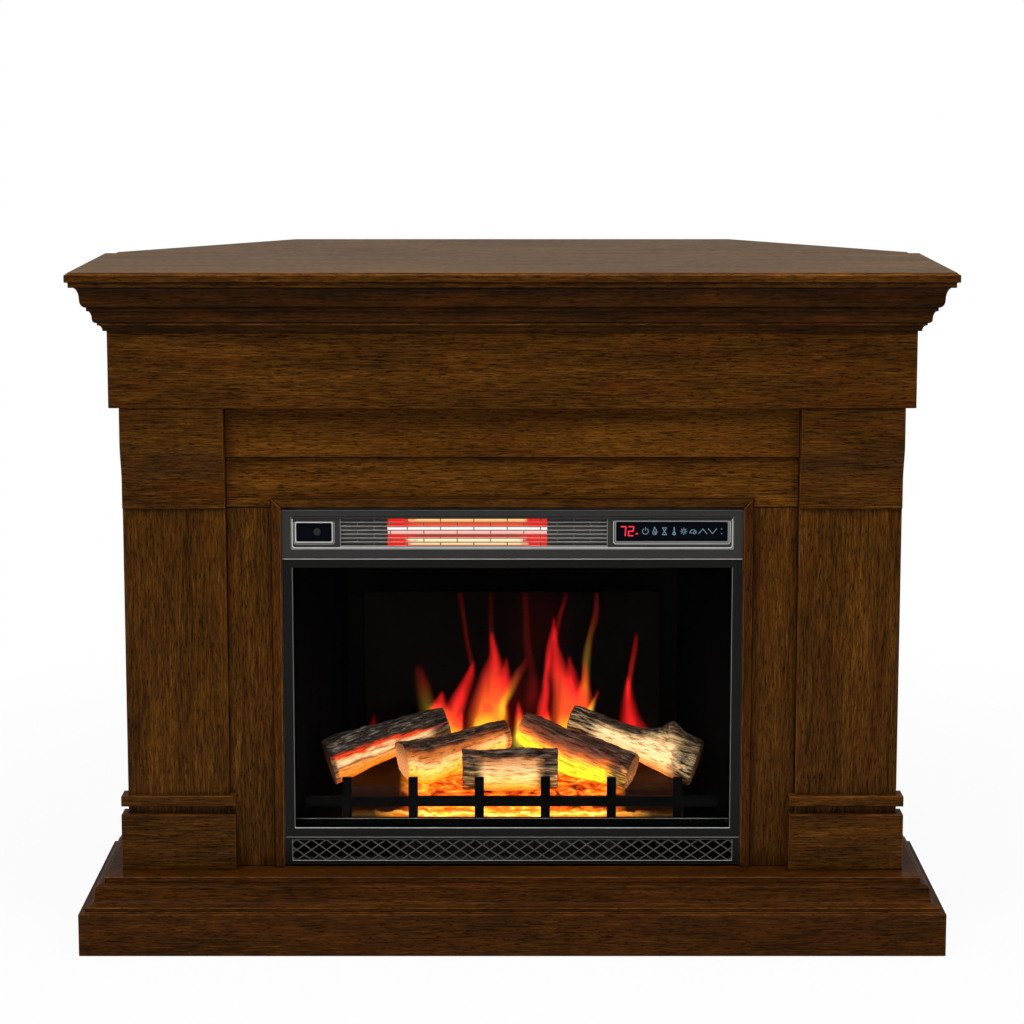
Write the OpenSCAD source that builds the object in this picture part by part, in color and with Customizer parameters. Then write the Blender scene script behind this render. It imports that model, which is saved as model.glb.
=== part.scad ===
// Convertible wall-and-corner electric fireplace: a walnut-veneered mantel on a stepped
// base, with an infrared insert behind a glass front.
// Millimetres, +Z up. The front faces -Y and the origin is on the floor, under the centre
// of the overall box. Inside every module, y is the set-back from the front plane.

/* [Overall] */
// Width over the base band and over the top slab
overall_w = 1226; // [1190:1:1280]
// Depth from the front plane to the flat rear edge of the corner top
overall_d = 591; // [560:1:620]
// Height from the floor to the top surface
overall_h = 970; // [955:1:1000]
// Depth of the rectangular main body
body_d = 325; // [318:1:340]

/* [Top slab] */
// Thickness of the top slab and of the corner top
slab_t = 21; // [19:0.5:25]
// Height of the small step round the top edge
slab_step_h = 2.7; // [2:0.1:4]
// Set-back of that step
slab_step_in = 3.9; // [2:0.1:6]
// Height of the projecting band
slab_band_h = 10.8; // [8:0.1:12]
// Set-back of the fillet under the band
slab_fillet_in = 4.5; // [2:0.1:6]
// Step from the slab's side to the narrower corner top
corner_step = 19; // [14:0.5:24]
// Width of a batten under the corner top
batten_w = 45; // [35:1:60]
// Height of a batten
batten_h = 30; // [20:1:40]
// Distance of each batten from the centre line
batten_x = 300; // [240:1:310]
// Length of a batten forward of the rear of the body
batten_lap = 185; // [150:1:200]
// Clear distance from a batten's rear end to the corner top's rear edge
batten_end = 31; // [20:1:50]
// Clearance round a batten where it passes the back panel
batten_fit = 1; // [0.5:0.1:2]

/* [Crown] */
// Set-back of the crown's top edge
crown_inset = 9; // [7:0.1:11]
// Upper tier: cove depth, cove height, bead depth, bead height, fillet height
crown_upper = [8.5, 18, 8, 11.3, 5]; // [3:0.1:22]
// Set-back between the upper and the middle tier
crown_step_upper = 1; // [0.5:0.1:2]
// Middle tier: cove depth, cove height, bead depth, bead height, fillet height
crown_middle = [5.6, 11.9, 5.9, 6, 3.2]; // [2:0.1:16]
// Set-back between the middle and the lower tier
crown_step_middle = 0.5; // [0.3:0.1:1.5]
// Lower cove: depth, height
crown_lower = [6, 8.6]; // [4:0.1:12]
// Set-back of the frieze from the foot of the crown
frieze_step = 4.8; // [3:0.1:7]

/* [Frieze and pilasters] */
// Visible height of the frieze below the crown
frieze_h = 109; // [100:1:120]
// Thickness of the front frieze board
frieze_t = 20.8; // [18:0.1:24]
// Thickness of the side frieze boards
frieze_side_t = 14; // [12:0.5:18]
// Height of a capital
capital_h = 146; // [135:1:155]
// Height of the upright face at the top of a capital
capital_face_h = 49; // [40:1:60]
// Height of the curved part of a capital
capital_curve_h = 60; // [50:1:65]
// Projection of the capital's face from the pilaster
capital_out = 17.6; // [14:0.1:20]
// Projection of the capital's foot from the pilaster
capital_foot_out = 4.7; // [3:0.1:7]
// Width of a pilaster
pilaster_w = 144.8; // [138:0.1:150]
// Thickness of a pilaster
pilaster_t = 24.7; // [22:0.1:28]
// Height of a plinth block
plinth_h = 82; // [75:1:90]
// Gap between a plinth block and its cap
plinth_gap = 12; // [9:0.5:15]
// Height of a plinth cap
plinth_cap_h = 15; // [12:0.5:18]
// Projection of plinth block and cap round the pilaster
plinth_wrap = 9.2; // [7:0.1:11]
// Depth of a plinth's return along the side
plinth_return = 29.7; // [26:0.1:31]

/* [Surround] */
// Thickness of the lower header and of the stiles
surround_t = 15; // [13:0.1:17]
// Thickness of the upper header
header_upper_t = 22; // [20:0.1:23]
// Visible height of the upper header
header_upper_h = 74; // [68:1:80]
// Height of the upper header hidden behind the frieze
header_lap = 40; // [25:1:60]
// Width of the trim round the insert
trim_w = 14.4; // [12:0.1:17]
// Thickness of the trim on the surround
trim_t = 7.3; // [5:0.1:9]

/* [Carcase] */
// Thickness of side panels, jambs and shelf
board_t = 15; // [12:0.5:18]
// Thickness of the back panel
back_t = 6; // [4:0.5:9]
// Distance of a jamb from the edge of the opening
jamb_gap = 3; // [1:0.5:8]
// Clear height between the opening and the shelf above it
shelf_gap = 20; // [10:1:30]

/* [Base] */
// Height of the lower band
band_h = 61; // [55:0.5:68]
// Set-back and height of the fillet above the band
band_fillet = [7.8, 7]; // [4:0.1:10]
// Depth and height of the cove
base_cove = [12, 9]; // [7:0.1:14]
// Lean and height of the face above the cove
base_face = [1.4, 14.4]; // [0.5:0.1:18]
// Depth and height of the bead under the hearth board
base_bead = [8.8, 5]; // [4:0.1:10]
// Set-back of the hearth board from the bead
hearth_step = 2.2; // [1:0.1:4]
// Visible height of the hearth board's edge
hearth_lip_h = 8.6; // [6:0.1:10]
// Thickness of the hearth board
hearth_t = 18; // [15:0.5:20]
// Width of the ledge that carries the hearth board
ledge_w = 14; // [10:0.5:25]
// Thickness of the base's rear rail
rail_t = 18; // [15:0.5:22]

/* [Insert front] */
// Width of the insert
insert_w = 653.4; // [640:0.1:670]
// Height of the lower grille
lower_grille_h = 40.4; // [36:0.1:46]
// Height of the glass frame
glass_frame_h = 407.2; // [395:0.1:415]
// Height of the top bezel
top_bezel_h = 70.3; // [66:0.1:76]
// Depth of the front pieces of the insert
fascia_d = 15; // [14:0.1:18]
// Projection of the insert's front from the surround
insert_proud = 2.8; // [1:0.1:5]
// Height of the insert's feet below its front
insert_foot = 3.8; // [2:0.1:6]
// Gap above the insert
opening_top_gap = 3.3; // [1:0.1:6]
// Gap at each side of the insert
opening_side_gap = 0.5; // [0.3:0.1:2]
// Wall of the front pieces' rims
rim_w = 8.3; // [7.5:0.1:9]
// Left and right, top and bottom margins of the glass opening
glass_margin = [14.9, 13.1, 13.7]; // [11:0.1:18]
// Thickness of the lip in front of the glass
glass_lip = 3.5; // [2.5:0.1:3.8]
// Overlap of the glass behind the lip
glass_lap = 6.2; // [4:0.1:6.4]
// Thickness of the glass
glass_t = 4; // [3:0.1:5]
// Clearance round the glass and behind the windows
seat_fit = 0.2; // [0.1:0.05:0.3]

/* [Control strip] */
// Side, bottom and top margins of the recessed strip
strip_margin = [13.9, 14.4, 9.6]; // [9:0.1:16]
// Depth of the recessed strip
strip_depth = 3; // [2:0.1:3.8]
// Thickness of the web behind the strip
web_t = 2; // [1.5:0.1:3]
// Margin of the plates that seat behind the web
plate_lap = 3; // [2:0.1:4]
// Thickness of those plates
plate_t = 2; // [1.5:0.1:3]
// Sensor window: distance from the strip's end, height above its bottom, width, height
sensor_window_at = [4.9, 8.3, 53.8, 30.3]; // [4:0.1:56]
// Display: distance from the strip's end, height above its bottom, width, height
display_at = [6, 8.8, 161.6, 31.5]; // [4:0.1:165]
// Gap between the heater grille and the windows beside it
window_gap = 10.75; // [8.5:0.05:14]
// Height of the heater grille above the strip's bottom, and its own height
heater_grille_at = [2.8, 40]; // [2:0.1:41]
// Rows of slots in the heater grille
slot_rows = 7; // [5:1:8]
// Columns of slots in the heater grille
slot_columns = 8; // [6:1:10]
// Bar between two slots
slot_bar = 1.4; // [1:0.1:2]

/* [Lower grille] */
// Side, bottom and top margins of the lattice
lattice_margin = [11, 5.7, 4.7]; // [4:0.1:14]
// Width and height of one diamond
diamond = [21.4, 15.2]; // [12:0.1:28]
// Width of the lattice bars
lattice_bar = 1.6; // [1.2:0.1:2.2]
// Thickness of the lattice
lattice_t = 1.5; // [1:0.1:2.5]
// Set-back of the lattice from the grille's face
lattice_in = 1.2; // [0.5:0.1:3]

/* [Insert case] */
// Depth of the steel case behind the front pieces
case_d = 200; // [196:1:215]
// Thickness of the sheet
sheet_t = 1.5; // [1:0.1:2]
// Inset of the case from the sides and top of the front
case_inset = 5.7; // [4.5:0.1:6.5]
// Height of the case's bottom above the bottom of the front
case_lift = 1; // [0.5:0.1:2.5]
// Radius of a foot
foot_r = 12; // [8:0.5:16]
// Radius of the cord gland's bore
gland_bore_r = 4.2; // [3.5:0.1:5]
// Wall of the gland's sleeve
gland_wall = 2.6; // [2:0.1:4]
// Radius and thickness of the gland's flange
gland_flange = [11, 3]; // [2:0.5:13]
// Length of the sleeve inside and outside the back
gland_reach = [8, 8]; // [5:0.5:12]
// Distance of the gland from the centre line
gland_x = 260; // [200:1:280]

/* [Firebox] */
// Thickness of the liner sheet
liner_t = 1.2; // [0.8:0.1:2]
// Half width of the liner at its front and at its back
liner_half = [312.5, 249]; // [240:0.5:315]
// Set-back of the liner's back wall from the case front
liner_d = 184; // [178:1:190]
// Height of the raised pan over the lower shelf
pan_h = 21.3; // [18:0.1:26]
// Size of the flame screen: width, height, thickness
screen = [437.4, 307, 3]; // [2:0.1:450]
// Set-back of the flame screen from the case front
screen_in = 122; // [121:0.5:126]
// Grate: width, set-back from the case front, thickness of its bars
grate_size = [596, 1.5, 6]; // [1:0.1:600]
// Height of the grate's rail above the pan, and the rail's own height
grate_rail = [17, 15]; // [8:0.1:24]
// Height and width of a grate upright
grate_upright = [60, 13.4]; // [8:0.1:70]
// Number of grate uprights
uprights = 6; // [4:1:8]
// Distance between two uprights
upright_pitch = 95.3; // [70:0.1:105]
// Half width and depth of the ember bed
bed_size = [246, 112]; // [100:1:250]
// Gap between the grate and the ember bed
bed_gap = 0.5; // [0.2:0.1:0.9]

/* [Flame mechanism] */
// Height of the spindle over the pan
spindle_z = 34; // [30:0.5:40]
// Set-back of the spindle from the case front
spindle_in = 153; // [151:0.5:155]
// Length between the cradle's ears
cradle_w = 420; // [400:1:430]
// Depth of the cradle
cradle_d = 48; // [40:1:52]
// Thickness of the cradle sheet
cradle_t = 1.2; // [1:0.1:2]
// Radius of the spindle rod
rod_r = 3; // [2.5:0.1:4]
// Running clearance of the rod and the fan shaft in their bores
run_fit = 0.05; // [0.02:0.01:0.09]
// Radius reached by the reflecting blades
blade_r = 15; // [11:0.5:17]
// Number of reflecting blades
blades = 12; // [8:1:16]
// Length of one blade
blade_l = 27; // [20:0.5:30]
// Thickness of a blade
blade_t = 0.8; // [0.5:0.1:1.5]
// Angle between one blade and the next
blade_turn = 67; // [30:1:90]
// Radius and length of the spindle motor
spindle_motor_size = [21, 17]; // [14:0.5:22]

/* [Blower and heater] */
// Set-back of the fan's axis from the case front
fan_in = 113; // [105:0.5:125]
// Height of the fan's axis over the upper shelf
fan_z = 31; // [30:0.5:31.5]
// Radius of the fan
fan_r = 24; // [20:0.5:25]
// Length of the fan
fan_l = 310; // [280:1:320]
// Blades round the fan
fan_blades = 20; // [14:1:24]
// Radius and thickness of a curved fan blade
fan_blade = [4.2, 0.8]; // [0.6:0.1:5]
// Thickness of the fan's discs
disc_t = 1.5; // [1:0.1:2.5]
// Radius of the fan's shaft
shaft_r = 3; // [2.5:0.1:4]
// Gap between the fan and its housing
fan_gap = 3.5; // [2.5:0.1:4]
// Gap between the fan's end and the housing's end plate
fan_end_gap = 4; // [2:0.5:6]
// Size of the blower motor's stack: length, width and height
motor_size = [26, 44, 44]; // [20:1:50]
// Radius of a quartz tube
tube_r = 5.5; // [4.5:0.1:6]
// Length of the tubes between their holders
tube_l = 248; // [220:1:260]
// Distance between the two tubes
tube_pitch = 21; // [16:0.5:24]
// Offset of the heater from the grille's centre
heater_off = -7; // [-12:0.5:0]
// Reflector: depth, height, overhang beyond the holders
reflector = [28, 58, 10]; // [6:0.5:60]
// Size of a ceramic holder: length and depth
holder = [10, 18]; // [8:0.5:22]

/* [Hidden] */
$fn = 48;
walnut = "#4a2a14";
walnut_dark = "#3a2010";
carcase = "#6b4a2e";
hardboard = "#7a5b3c";
black_metal = "#26282a";
black_plastic = "#17181a";
steel = "#8d9194";
glass = "#20262a";
bark = "#6a4a33";
ember = "#c0521a";
quartz = "#e8643c";
green_board = "#1f5c3a";

eps = 1;                 // overrun of a cutting solid past the face that it cuts
arc_steps = 6;
half_w = overall_w / 2;

// Heights of the base, from the floor up
fillet_z = band_h + band_fillet[1];
cove_z = fillet_z + base_cove[1];
face_z = cove_z + base_face[1];
bead_z = face_z + base_bead[1];
base_h = bead_z + hearth_lip_h;
hearth_z = base_h - hearth_t;
hearth_in = band_fillet[0] + base_cove[0] + base_face[0] + base_bead[0] + hearth_step;
ledge_in = hearth_in + ledge_w;

// Set-backs of the crown and of the faces below it
function sum_of(list, picks) = [for (i = picks) list[i]] * [for (i = picks) 1];
crown_upper_in = crown_inset + crown_upper[0] + crown_upper[2];
crown_upper_h = sum_of(crown_upper, [1, 3, 4]);
crown_middle_in = crown_upper_in + crown_step_upper + crown_middle[0] + crown_middle[2];
crown_middle_h = sum_of(crown_middle, [1, 3, 4]);
crown_foot_in = crown_middle_in + crown_step_middle + crown_lower[0];
crown_h = crown_upper_h + crown_middle_h + crown_lower[1];
frieze_in = crown_foot_in + frieze_step;
pilaster_in = frieze_in + frieze_t;
face_back = pilaster_in + pilaster_t;
surround_in = face_back - surround_t;

// Heights from the top down
slab_z = overall_h - slab_t;
crown_z = slab_z - crown_h;
frieze_z = crown_z - frieze_h;
capital_z = frieze_z - capital_h;
header_z = frieze_z - header_upper_h;

// Half widths
frieze_half = half_w - frieze_in;
body_half = frieze_half - frieze_side_t;
pilaster_x = body_half - pilaster_w;
inner_half = body_half - board_t;
corner_half = half_w - corner_step;
rear_half = half_w + body_d - overall_d;

// Insert front
insert_half = insert_w / 2;
opening_half = insert_half + opening_side_gap;
insert_z = base_h + insert_foot;
frame_z = insert_z + lower_grille_h;
bezel_z = frame_z + glass_frame_h;
insert_top = bezel_z + top_bezel_h;
opening_z = insert_top + opening_top_gap;
insert_in = surround_in - insert_proud;
fascia_in = insert_in + fascia_d;
shelf_z = opening_z + shelf_gap;
strip_half = insert_half - strip_margin[0];
strip_z = bezel_z + strip_margin[1];
strip_top = insert_top - strip_margin[2];
web_in = insert_in + strip_depth;
plate_in = web_in + web_t;
sensor_x = -strip_half + sensor_window_at[0];
display_x = strip_half - display_at[0] - display_at[2];
slots_x = sensor_x + sensor_window_at[2] + window_gap;
slots_w = display_x - window_gap - slots_x;

// Insert case
case_half = insert_half - case_inset;
case_z = insert_z + case_lift;
case_top = insert_top - case_inset;
case_back_in = fascia_in + case_d;
bay_z = frame_z + sheet_t;
bay_top = bezel_z - sheet_t;
gland_z = (case_z + frame_z) / 2;
gland_r = gland_bore_r + gland_wall;
gland_fit = 0.1;
vent = [22, 5];          // length and height of a vent slot
vent_pitch = [38, 12];   // from slot to slot and from row to row
vent_margin = 16;        // from the case's top or bottom edge to its nearest row
upper_vents = [13, 3];   // slots in a row and rows
lower_vents = [9, 2];

// Firebox
pan_z = bay_z + pan_h;
screen_y = fascia_in + screen_in;
spindle_y = fascia_in + spindle_in;
spindle_axis_z = pan_z + spindle_z;
bed_y = fascia_in + grate_size[1] + grate_size[2] + bed_gap;

// Blower and heater
fan_y = fascia_in + fan_in;
fan_axis_z = bezel_z + fan_z;
fan_half = fan_l / 2;
plate_x = fan_half + fan_end_gap;
heater_x = slots_x + slots_w / 2 + heater_off;
reflector_gap = 4;       // gap between the case's front edge and the reflector
reflector_y = fascia_in + reflector_gap;
tube_y = reflector_y + reflector[0] - sheet_t - holder[1] / 2;
tube_z = bezel_z + reflector[1] / 2;

// Logs: stations along each log as [x, set-back from the case front, height over the pan,
// radius], then how far the log is flattened from front to back
log_paths = [
    [[-268, 56, 66, 34], [-190, 80, 92, 28], [-97, 98, 117, 21.5]],
    [[-160, 31, 78, 27], [-128, 43, 71, 33], [-70, 69, 85, 26], [-8, 93, 99, 21]],
    [[-72, 23.4, 66, 29], [-10, 23.4, 65, 31], [66, 23.4, 66, 29]],
    [[14, 92, 110, 21], [80, 70, 79, 32], [130, 48, 68, 28.5], [174, 30, 60, 26]],
    [[86, 101, 122, 18], [150, 94, 100, 23], [215, 80, 82, 31], [269, 56, 64, 33]],
];
log_flatten = [1, 1, 0.47, 1, 1];
log_rings = 9;
log_sides = 16;
pocket_fit = 0.2;        // clearance round a log in its pocket

// Ember bed: heights over the pan at its four folds, set-backs of the two folds between its
// front and its back, and the loose embers along its front
bed_heights = [9, 34.5, 40, 54];
bed_folds = [14, 32];
embers = 29;
ember_size = 9.5;
ember_in = 11;           // set-back of an ember's centre in the bed
ember_drop = 13;         // and its depth below the first fold
ember_stir = 2;          // how far the row of embers goes up and down
ember_turn = [40, 25, 73]; // turn of each ember against the one before it
ember_pitch = (2 * bed_size[0] - 2 * ember_size) / (embers - 1);

// ---- Shared shapes ----

// Moves a piece from front-plane coordinates to the part's own origin.
module placed() translate([0, -overall_d / 2, 0]) children();

// Turns a right-hand piece into the left-hand one.
module left_hand() mirror([1, 0, 0]) children();

// A box between two corners.
module span(from, to) translate(from) cube(to - from);

// Extrudes an (x, z) outline backwards from a set-back.
module sheet_xz(y, t) translate([0, y + t, 0]) rotate([90, 0, 0]) linear_extrude(t) children();

// Extrudes a (set-back, z) profile from x0 to x1.
module along_x(x0, x1) translate([x0, 0, 0]) rotate([90, 0, 90]) linear_extrude(x1 - x0) children();

// A cylinder along x.
module rod_x(x0, x1, r) translate([x0, 0, 0]) rotate([0, 90, 0]) cylinder(h = x1 - x0, r = r);

// A quarter cove that leaves a point inwards and then turns down (up for a negative drop).
function cove(at, run, drop) = [
    for (i = [0:arc_steps])
        let (a = 90 * i / arc_steps) at + [run * sin(a), -drop * (1 - cos(a))]
];

// A quarter bead that leaves a point downwards and then turns inwards.
function bead(at, run, drop) = [
    for (i = [1:arc_steps])
        let (a = 90 * i / arc_steps) at + [run * (1 - cos(a)), -drop * sin(a)]
];

// One tier of the crown: cove, bead and fillet.
function tier(at, size) = concat(
    cove(at, size[0], size[1]),
    bead(at + [size[0], -size[1]], size[2], size[3]),
    [at + [size[0] + size[2], -sum_of(size, [1, 3, 4])]]
);

// The plan of a moulding on the front, with its mitres.
module front_mitre(depth) {
    x = half_w + eps;
    inner = half_w - depth - eps;
    linear_extrude(overall_h) polygon([[-x, -eps], [x, -eps], [inner, depth + eps], [-inner, depth + eps]]);
}

// The plan of a moulding on the right side, with its mitre.
module side_mitre(depth) {
    x = half_w + eps;
    inner = half_w - depth - eps;
    y = body_d + eps;
    linear_extrude(overall_h) polygon([[x, -eps], [x, y], [inner, y], [inner, depth + eps]]);
}

// A profile run along the front between its mitres.
module front_run(profile, depth) intersection() {
    along_x(-half_w, half_w) polygon(profile);
    front_mitre(depth);
}

// A profile run along the right side, back from its mitre.
module side_run(profile, depth) intersection() {
    translate([half_w, body_d, 0]) mirror([1, 0, 0]) rotate([90, 0, 0])
        linear_extrude(body_d) polygon(profile);
    side_mitre(depth);
}

// ---- Top ----

// One layer of the slab's stepped edge.
module slab_layer(inset, z0, z1)
    span([-half_w + inset, inset, z0], [half_w - inset, body_d, z1]);

module top_slab() color(walnut) placed() {
    band_z = overall_h - slab_step_h - slab_band_h;
    slab_layer(slab_fillet_in, slab_z, band_z);
    slab_layer(0, band_z, overall_h - slab_step_h);
    slab_layer(slab_step_in, overall_h - slab_step_h, overall_h);
}

module corner_top() color(walnut) placed() translate([0, 0, slab_z]) linear_extrude(slab_t) polygon([
    [-corner_half, body_d], [corner_half, body_d], [corner_half, body_d + corner_step],
    [rear_half, overall_d], [-rear_half, overall_d], [-corner_half, body_d + corner_step]
]);

// The batten at +x, grown by a fit where it is used as a cutter.
module batten(fit) span(
    [batten_x - batten_w / 2 - fit, body_d - batten_lap, slab_z - batten_h - fit],
    [batten_x + batten_w / 2 + fit, overall_d - batten_end, slab_z + fit]
);

module corner_battens() color(carcase) placed() {
    batten(0);
    left_hand() batten(0);
}

// ---- Crown ----

crown_profile = concat(
    tier([crown_inset, slab_z], crown_upper),
    tier([crown_upper_in + crown_step_upper, slab_z - crown_upper_h], crown_middle),
    cove([crown_middle_in + crown_step_middle, crown_z + crown_lower[1]], crown_lower[0], crown_lower[1]),
    [[frieze_in, crown_z], [frieze_in, slab_z]]
);

module crown_front() color(walnut_dark) placed() front_run(crown_profile, frieze_in);

module crown_right() color(walnut_dark) placed() side_run(crown_profile, frieze_in);

module crown_left() color(walnut_dark) left_hand() crown_right();

// ---- Frieze and pilasters ----

module frieze_front() color(walnut) placed()
    span([-frieze_half, frieze_in, frieze_z], [frieze_half, pilaster_in, slab_z]);

module frieze_right() color(walnut) placed()
    span([body_half, pilaster_in, frieze_z], [frieze_half, body_d, slab_z]);

module frieze_left() color(walnut) left_hand() frieze_right();

module capital_right() color(walnut) placed() {
    foot_y = pilaster_in - capital_foot_out;
    face_y = pilaster_in - capital_out;
    curve_z = frieze_z - capital_face_h - capital_curve_h;
    ogee = [
        for (i = [0:2 * arc_steps])
            let (t = i / (2 * arc_steps))
            [foot_y + (face_y - foot_y) * (1 - cos(180 * t)) / 2, curve_z + capital_curve_h * t]
    ];
    along_x(pilaster_x, body_half) polygon(concat(
        [[pilaster_in, capital_z], [foot_y, capital_z]], ogee,
        [[face_y, frieze_z], [pilaster_in, frieze_z]]
    ));
}

module capital_left() color(walnut) left_hand() capital_right();

module pilaster_right() color(walnut) placed()
    span([pilaster_x, pilaster_in, base_h], [body_half, face_back, slab_z]);

module pilaster_left() color(walnut) left_hand() pilaster_right();

// A band wrapped round the foot of the pilaster. Its inner arm stops at the surround.
module plinth_wrap_band(z0, z1) difference() {
    y = pilaster_in - plinth_wrap;
    span([pilaster_x - plinth_wrap, y, z0], [body_half + plinth_wrap, y + plinth_return, z1]);
    span([pilaster_x, pilaster_in, z0 - eps], [body_half, y + plinth_return + eps, z1 + eps]);
    span([pilaster_x - plinth_wrap - eps, surround_in, z0 - eps],
        [pilaster_x + eps, y + plinth_return + eps, z1 + eps]);
}

module plinth_right() color(walnut) placed() {
    cap_z = base_h + plinth_h + plinth_gap;
    plinth_wrap_band(base_h, base_h + plinth_h);
    plinth_wrap_band(cap_z, cap_z + plinth_cap_h);
}

module plinth_left() color(walnut) left_hand() plinth_right();

// ---- Surround of the insert ----

module header_upper() color(walnut) placed()
    span([-pilaster_x, face_back - header_upper_t, header_z], [pilaster_x, face_back, frieze_z + header_lap]);

module header_lower() color(walnut) placed()
    span([-pilaster_x, surround_in, opening_z], [pilaster_x, face_back, header_z]);

module stile_right() color(walnut) placed()
    span([opening_half, surround_in, base_h], [pilaster_x, face_back, opening_z]);

module stile_left() color(walnut) left_hand() stile_right();

trim_in = surround_in - trim_t;
trim_half = opening_half + trim_w;
trim_z = opening_z + trim_w;

module trim_top() color(walnut_dark) placed() sheet_xz(trim_in, trim_t) polygon([
    [-opening_half, opening_z], [opening_half, opening_z], [trim_half, trim_z], [-trim_half, trim_z]
]);

module trim_right() color(walnut_dark) placed() sheet_xz(trim_in, trim_t) polygon([
    [opening_half, base_h], [trim_half, base_h], [trim_half, trim_z], [opening_half, opening_z]
]);

module trim_left() color(walnut_dark) left_hand() trim_right();

// ---- Carcase ----

module side_panel_right() color(carcase) placed()
    span([inner_half, face_back, base_h], [body_half, body_d, slab_z]);

module side_panel_left() color(carcase) left_hand() side_panel_right();

module jamb() {
    x = opening_half + jamb_gap;
    span([x, face_back, base_h], [x + board_t, body_d - back_t, shelf_z]);
}

module jambs() color(carcase) placed() {
    jamb();
    left_hand() jamb();
}

module insert_shelf() color(carcase) placed()
    span([-inner_half, face_back, shelf_z], [inner_half, body_d - back_t, shelf_z + board_t]);

module back_panel() color(hardboard) placed() difference() {
    span([-inner_half, body_d - back_t, shelf_z], [inner_half, body_d, slab_z]);
    batten(batten_fit);
    left_hand() batten(batten_fit);
}

// ---- Base ----

base_profile = concat(
    [[0, 0], [0, band_h], [band_fillet[0], band_h]],
    cove([band_fillet[0], fillet_z], base_cove[0], -base_cove[1]),
    [[band_fillet[0] + base_cove[0] + base_face[0], face_z]],
    bead([band_fillet[0] + base_cove[0] + base_face[0], face_z], base_bead[0], -base_bead[1]),
    [[hearth_in, bead_z], [hearth_in, hearth_z], [ledge_in, hearth_z], [ledge_in, 0]]
);

module base_front() color(walnut) placed() front_run(base_profile, ledge_in);

module base_right() color(walnut) placed() side_run(base_profile, ledge_in);

module base_left() color(walnut) left_hand() base_right();

module base_rail() color(carcase) placed()
    span([-half_w + ledge_in, body_d - rail_t, 0], [half_w - ledge_in, body_d, hearth_z]);

module hearth_board() color(walnut) placed()
    span([-half_w + hearth_in, hearth_in, hearth_z], [half_w - hearth_in, body_d, base_h]);

// ---- Front of the insert ----

// The rim and face block of one front piece, between two heights.
module fascia_block(z0, z1)
    span([-insert_half, insert_in, z0], [insert_half, fascia_in, z1]);

// The rectangle of a window in the control strip, grown by a lap.
module window(x, z, w, h, lap) translate([x - lap, z - lap]) square([w + 2 * lap, h + 2 * lap]);

module sensor_outline(lap) window(sensor_x, strip_z + sensor_window_at[1],
    sensor_window_at[2], sensor_window_at[3], lap);

module display_outline(lap) window(display_x, strip_z + display_at[1], display_at[2], display_at[3], lap);

module slots_outline(lap) window(slots_x, strip_z + heater_grille_at[0], slots_w, heater_grille_at[1], lap);

module top_bezel() color(black_metal) placed() difference() {
    fascia_block(bezel_z, insert_top);
    span([-strip_half, insert_in - eps, strip_z], [strip_half, web_in, strip_top]);
    span([-insert_half + rim_w, plate_in, bezel_z + rim_w],
        [insert_half - rim_w, fascia_in + eps, insert_top - rim_w]);
    sheet_xz(web_in - eps, web_t + 2 * eps) {
        sensor_outline(0);
        display_outline(0);
        slots_outline(0);
    }
}

// Slots laid like bricks, each row half a slot from the next.
module brick_slots() {
    pitch_x = slots_w / slot_columns;
    pitch_z = heater_grille_at[1] / slot_rows;
    for (row = [0:slot_rows - 1], column = [0:slot_columns]) {
        x = slots_x + (column - (row % 2) / 2) * pitch_x;
        z = strip_z + heater_grille_at[0] + row * pitch_z;
        translate([x + slot_bar / 2, z + slot_bar / 2]) square([pitch_x - slot_bar, pitch_z - slot_bar]);
    }
}

module heater_grille() color(steel) placed() sheet_xz(plate_in, plate_t) difference() {
    slots_outline(plate_lap);
    intersection() {
        slots_outline(-slot_bar / 2);
        brick_slots();
    }
}

module sensor_window() color(glass) placed() sheet_xz(plate_in, plate_t) sensor_outline(plate_lap);

module display_panel() color(glass) placed() sheet_xz(plate_in, plate_t) display_outline(plate_lap);

// The clear opening of the glass frame, grown by a lap.
module glass_outline(lap) {
    x = insert_half - glass_margin[0] + lap;
    z0 = frame_z + glass_margin[2] - lap;
    z1 = bezel_z - glass_margin[1] + lap;
    translate([-x, z0]) square([2 * x, z1 - z0]);
}

module glass_frame() color(black_metal) placed() difference() {
    fascia_block(frame_z, bezel_z);
    sheet_xz(insert_in - eps, glass_lip + 2 * eps) glass_outline(0);
    sheet_xz(insert_in + glass_lip, fascia_d) glass_outline(glass_lap + seat_fit);
}

module front_glass() color(glass) placed() sheet_xz(insert_in + glass_lip, glass_t) glass_outline(glass_lap);

// Openings of the diamond lattice: each is a diamond drawn in by half a bar.
module diamonds(half_x, z0, z1) {
    a = diamond[0] / 2;
    b = diamond[1] / 2;
    shrink = 1 - lattice_bar / 2 * norm([a, b]) / (a * b);
    columns = ceil(half_x / diamond[0]);
    rows = ceil((z1 - z0) / diamond[1]);
    for (shift = [0, 0.5], i = [-columns:columns], j = [0:rows]) {
        at = [(i + shift) * diamond[0], (z0 + z1) / 2 + (j - rows / 2 + shift) * diamond[1]];
        translate(at) polygon(shrink * [[a, 0], [0, b], [-a, 0], [0, -b]]);
    }
}

module lower_grille() color(black_metal) placed() {
    x = insert_half - lattice_margin[0];
    z0 = insert_z + lattice_margin[1];
    z1 = frame_z - lattice_margin[2];
    difference() {
        fascia_block(insert_z, frame_z);
        span([-x, insert_in - eps, z0], [x, fascia_in + eps, z1]);
    }
    sheet_xz(insert_in + lattice_in, lattice_t) difference() {
        translate([-x - eps, z0 - eps]) square([2 * (x + eps), z1 - z0 + 2 * eps]);
        intersection() {
            translate([-x, z0]) square([2 * x, z1 - z0]);
            diamonds(x, z0, z1);
        }
    }
}

// ---- Case of the insert ----

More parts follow.
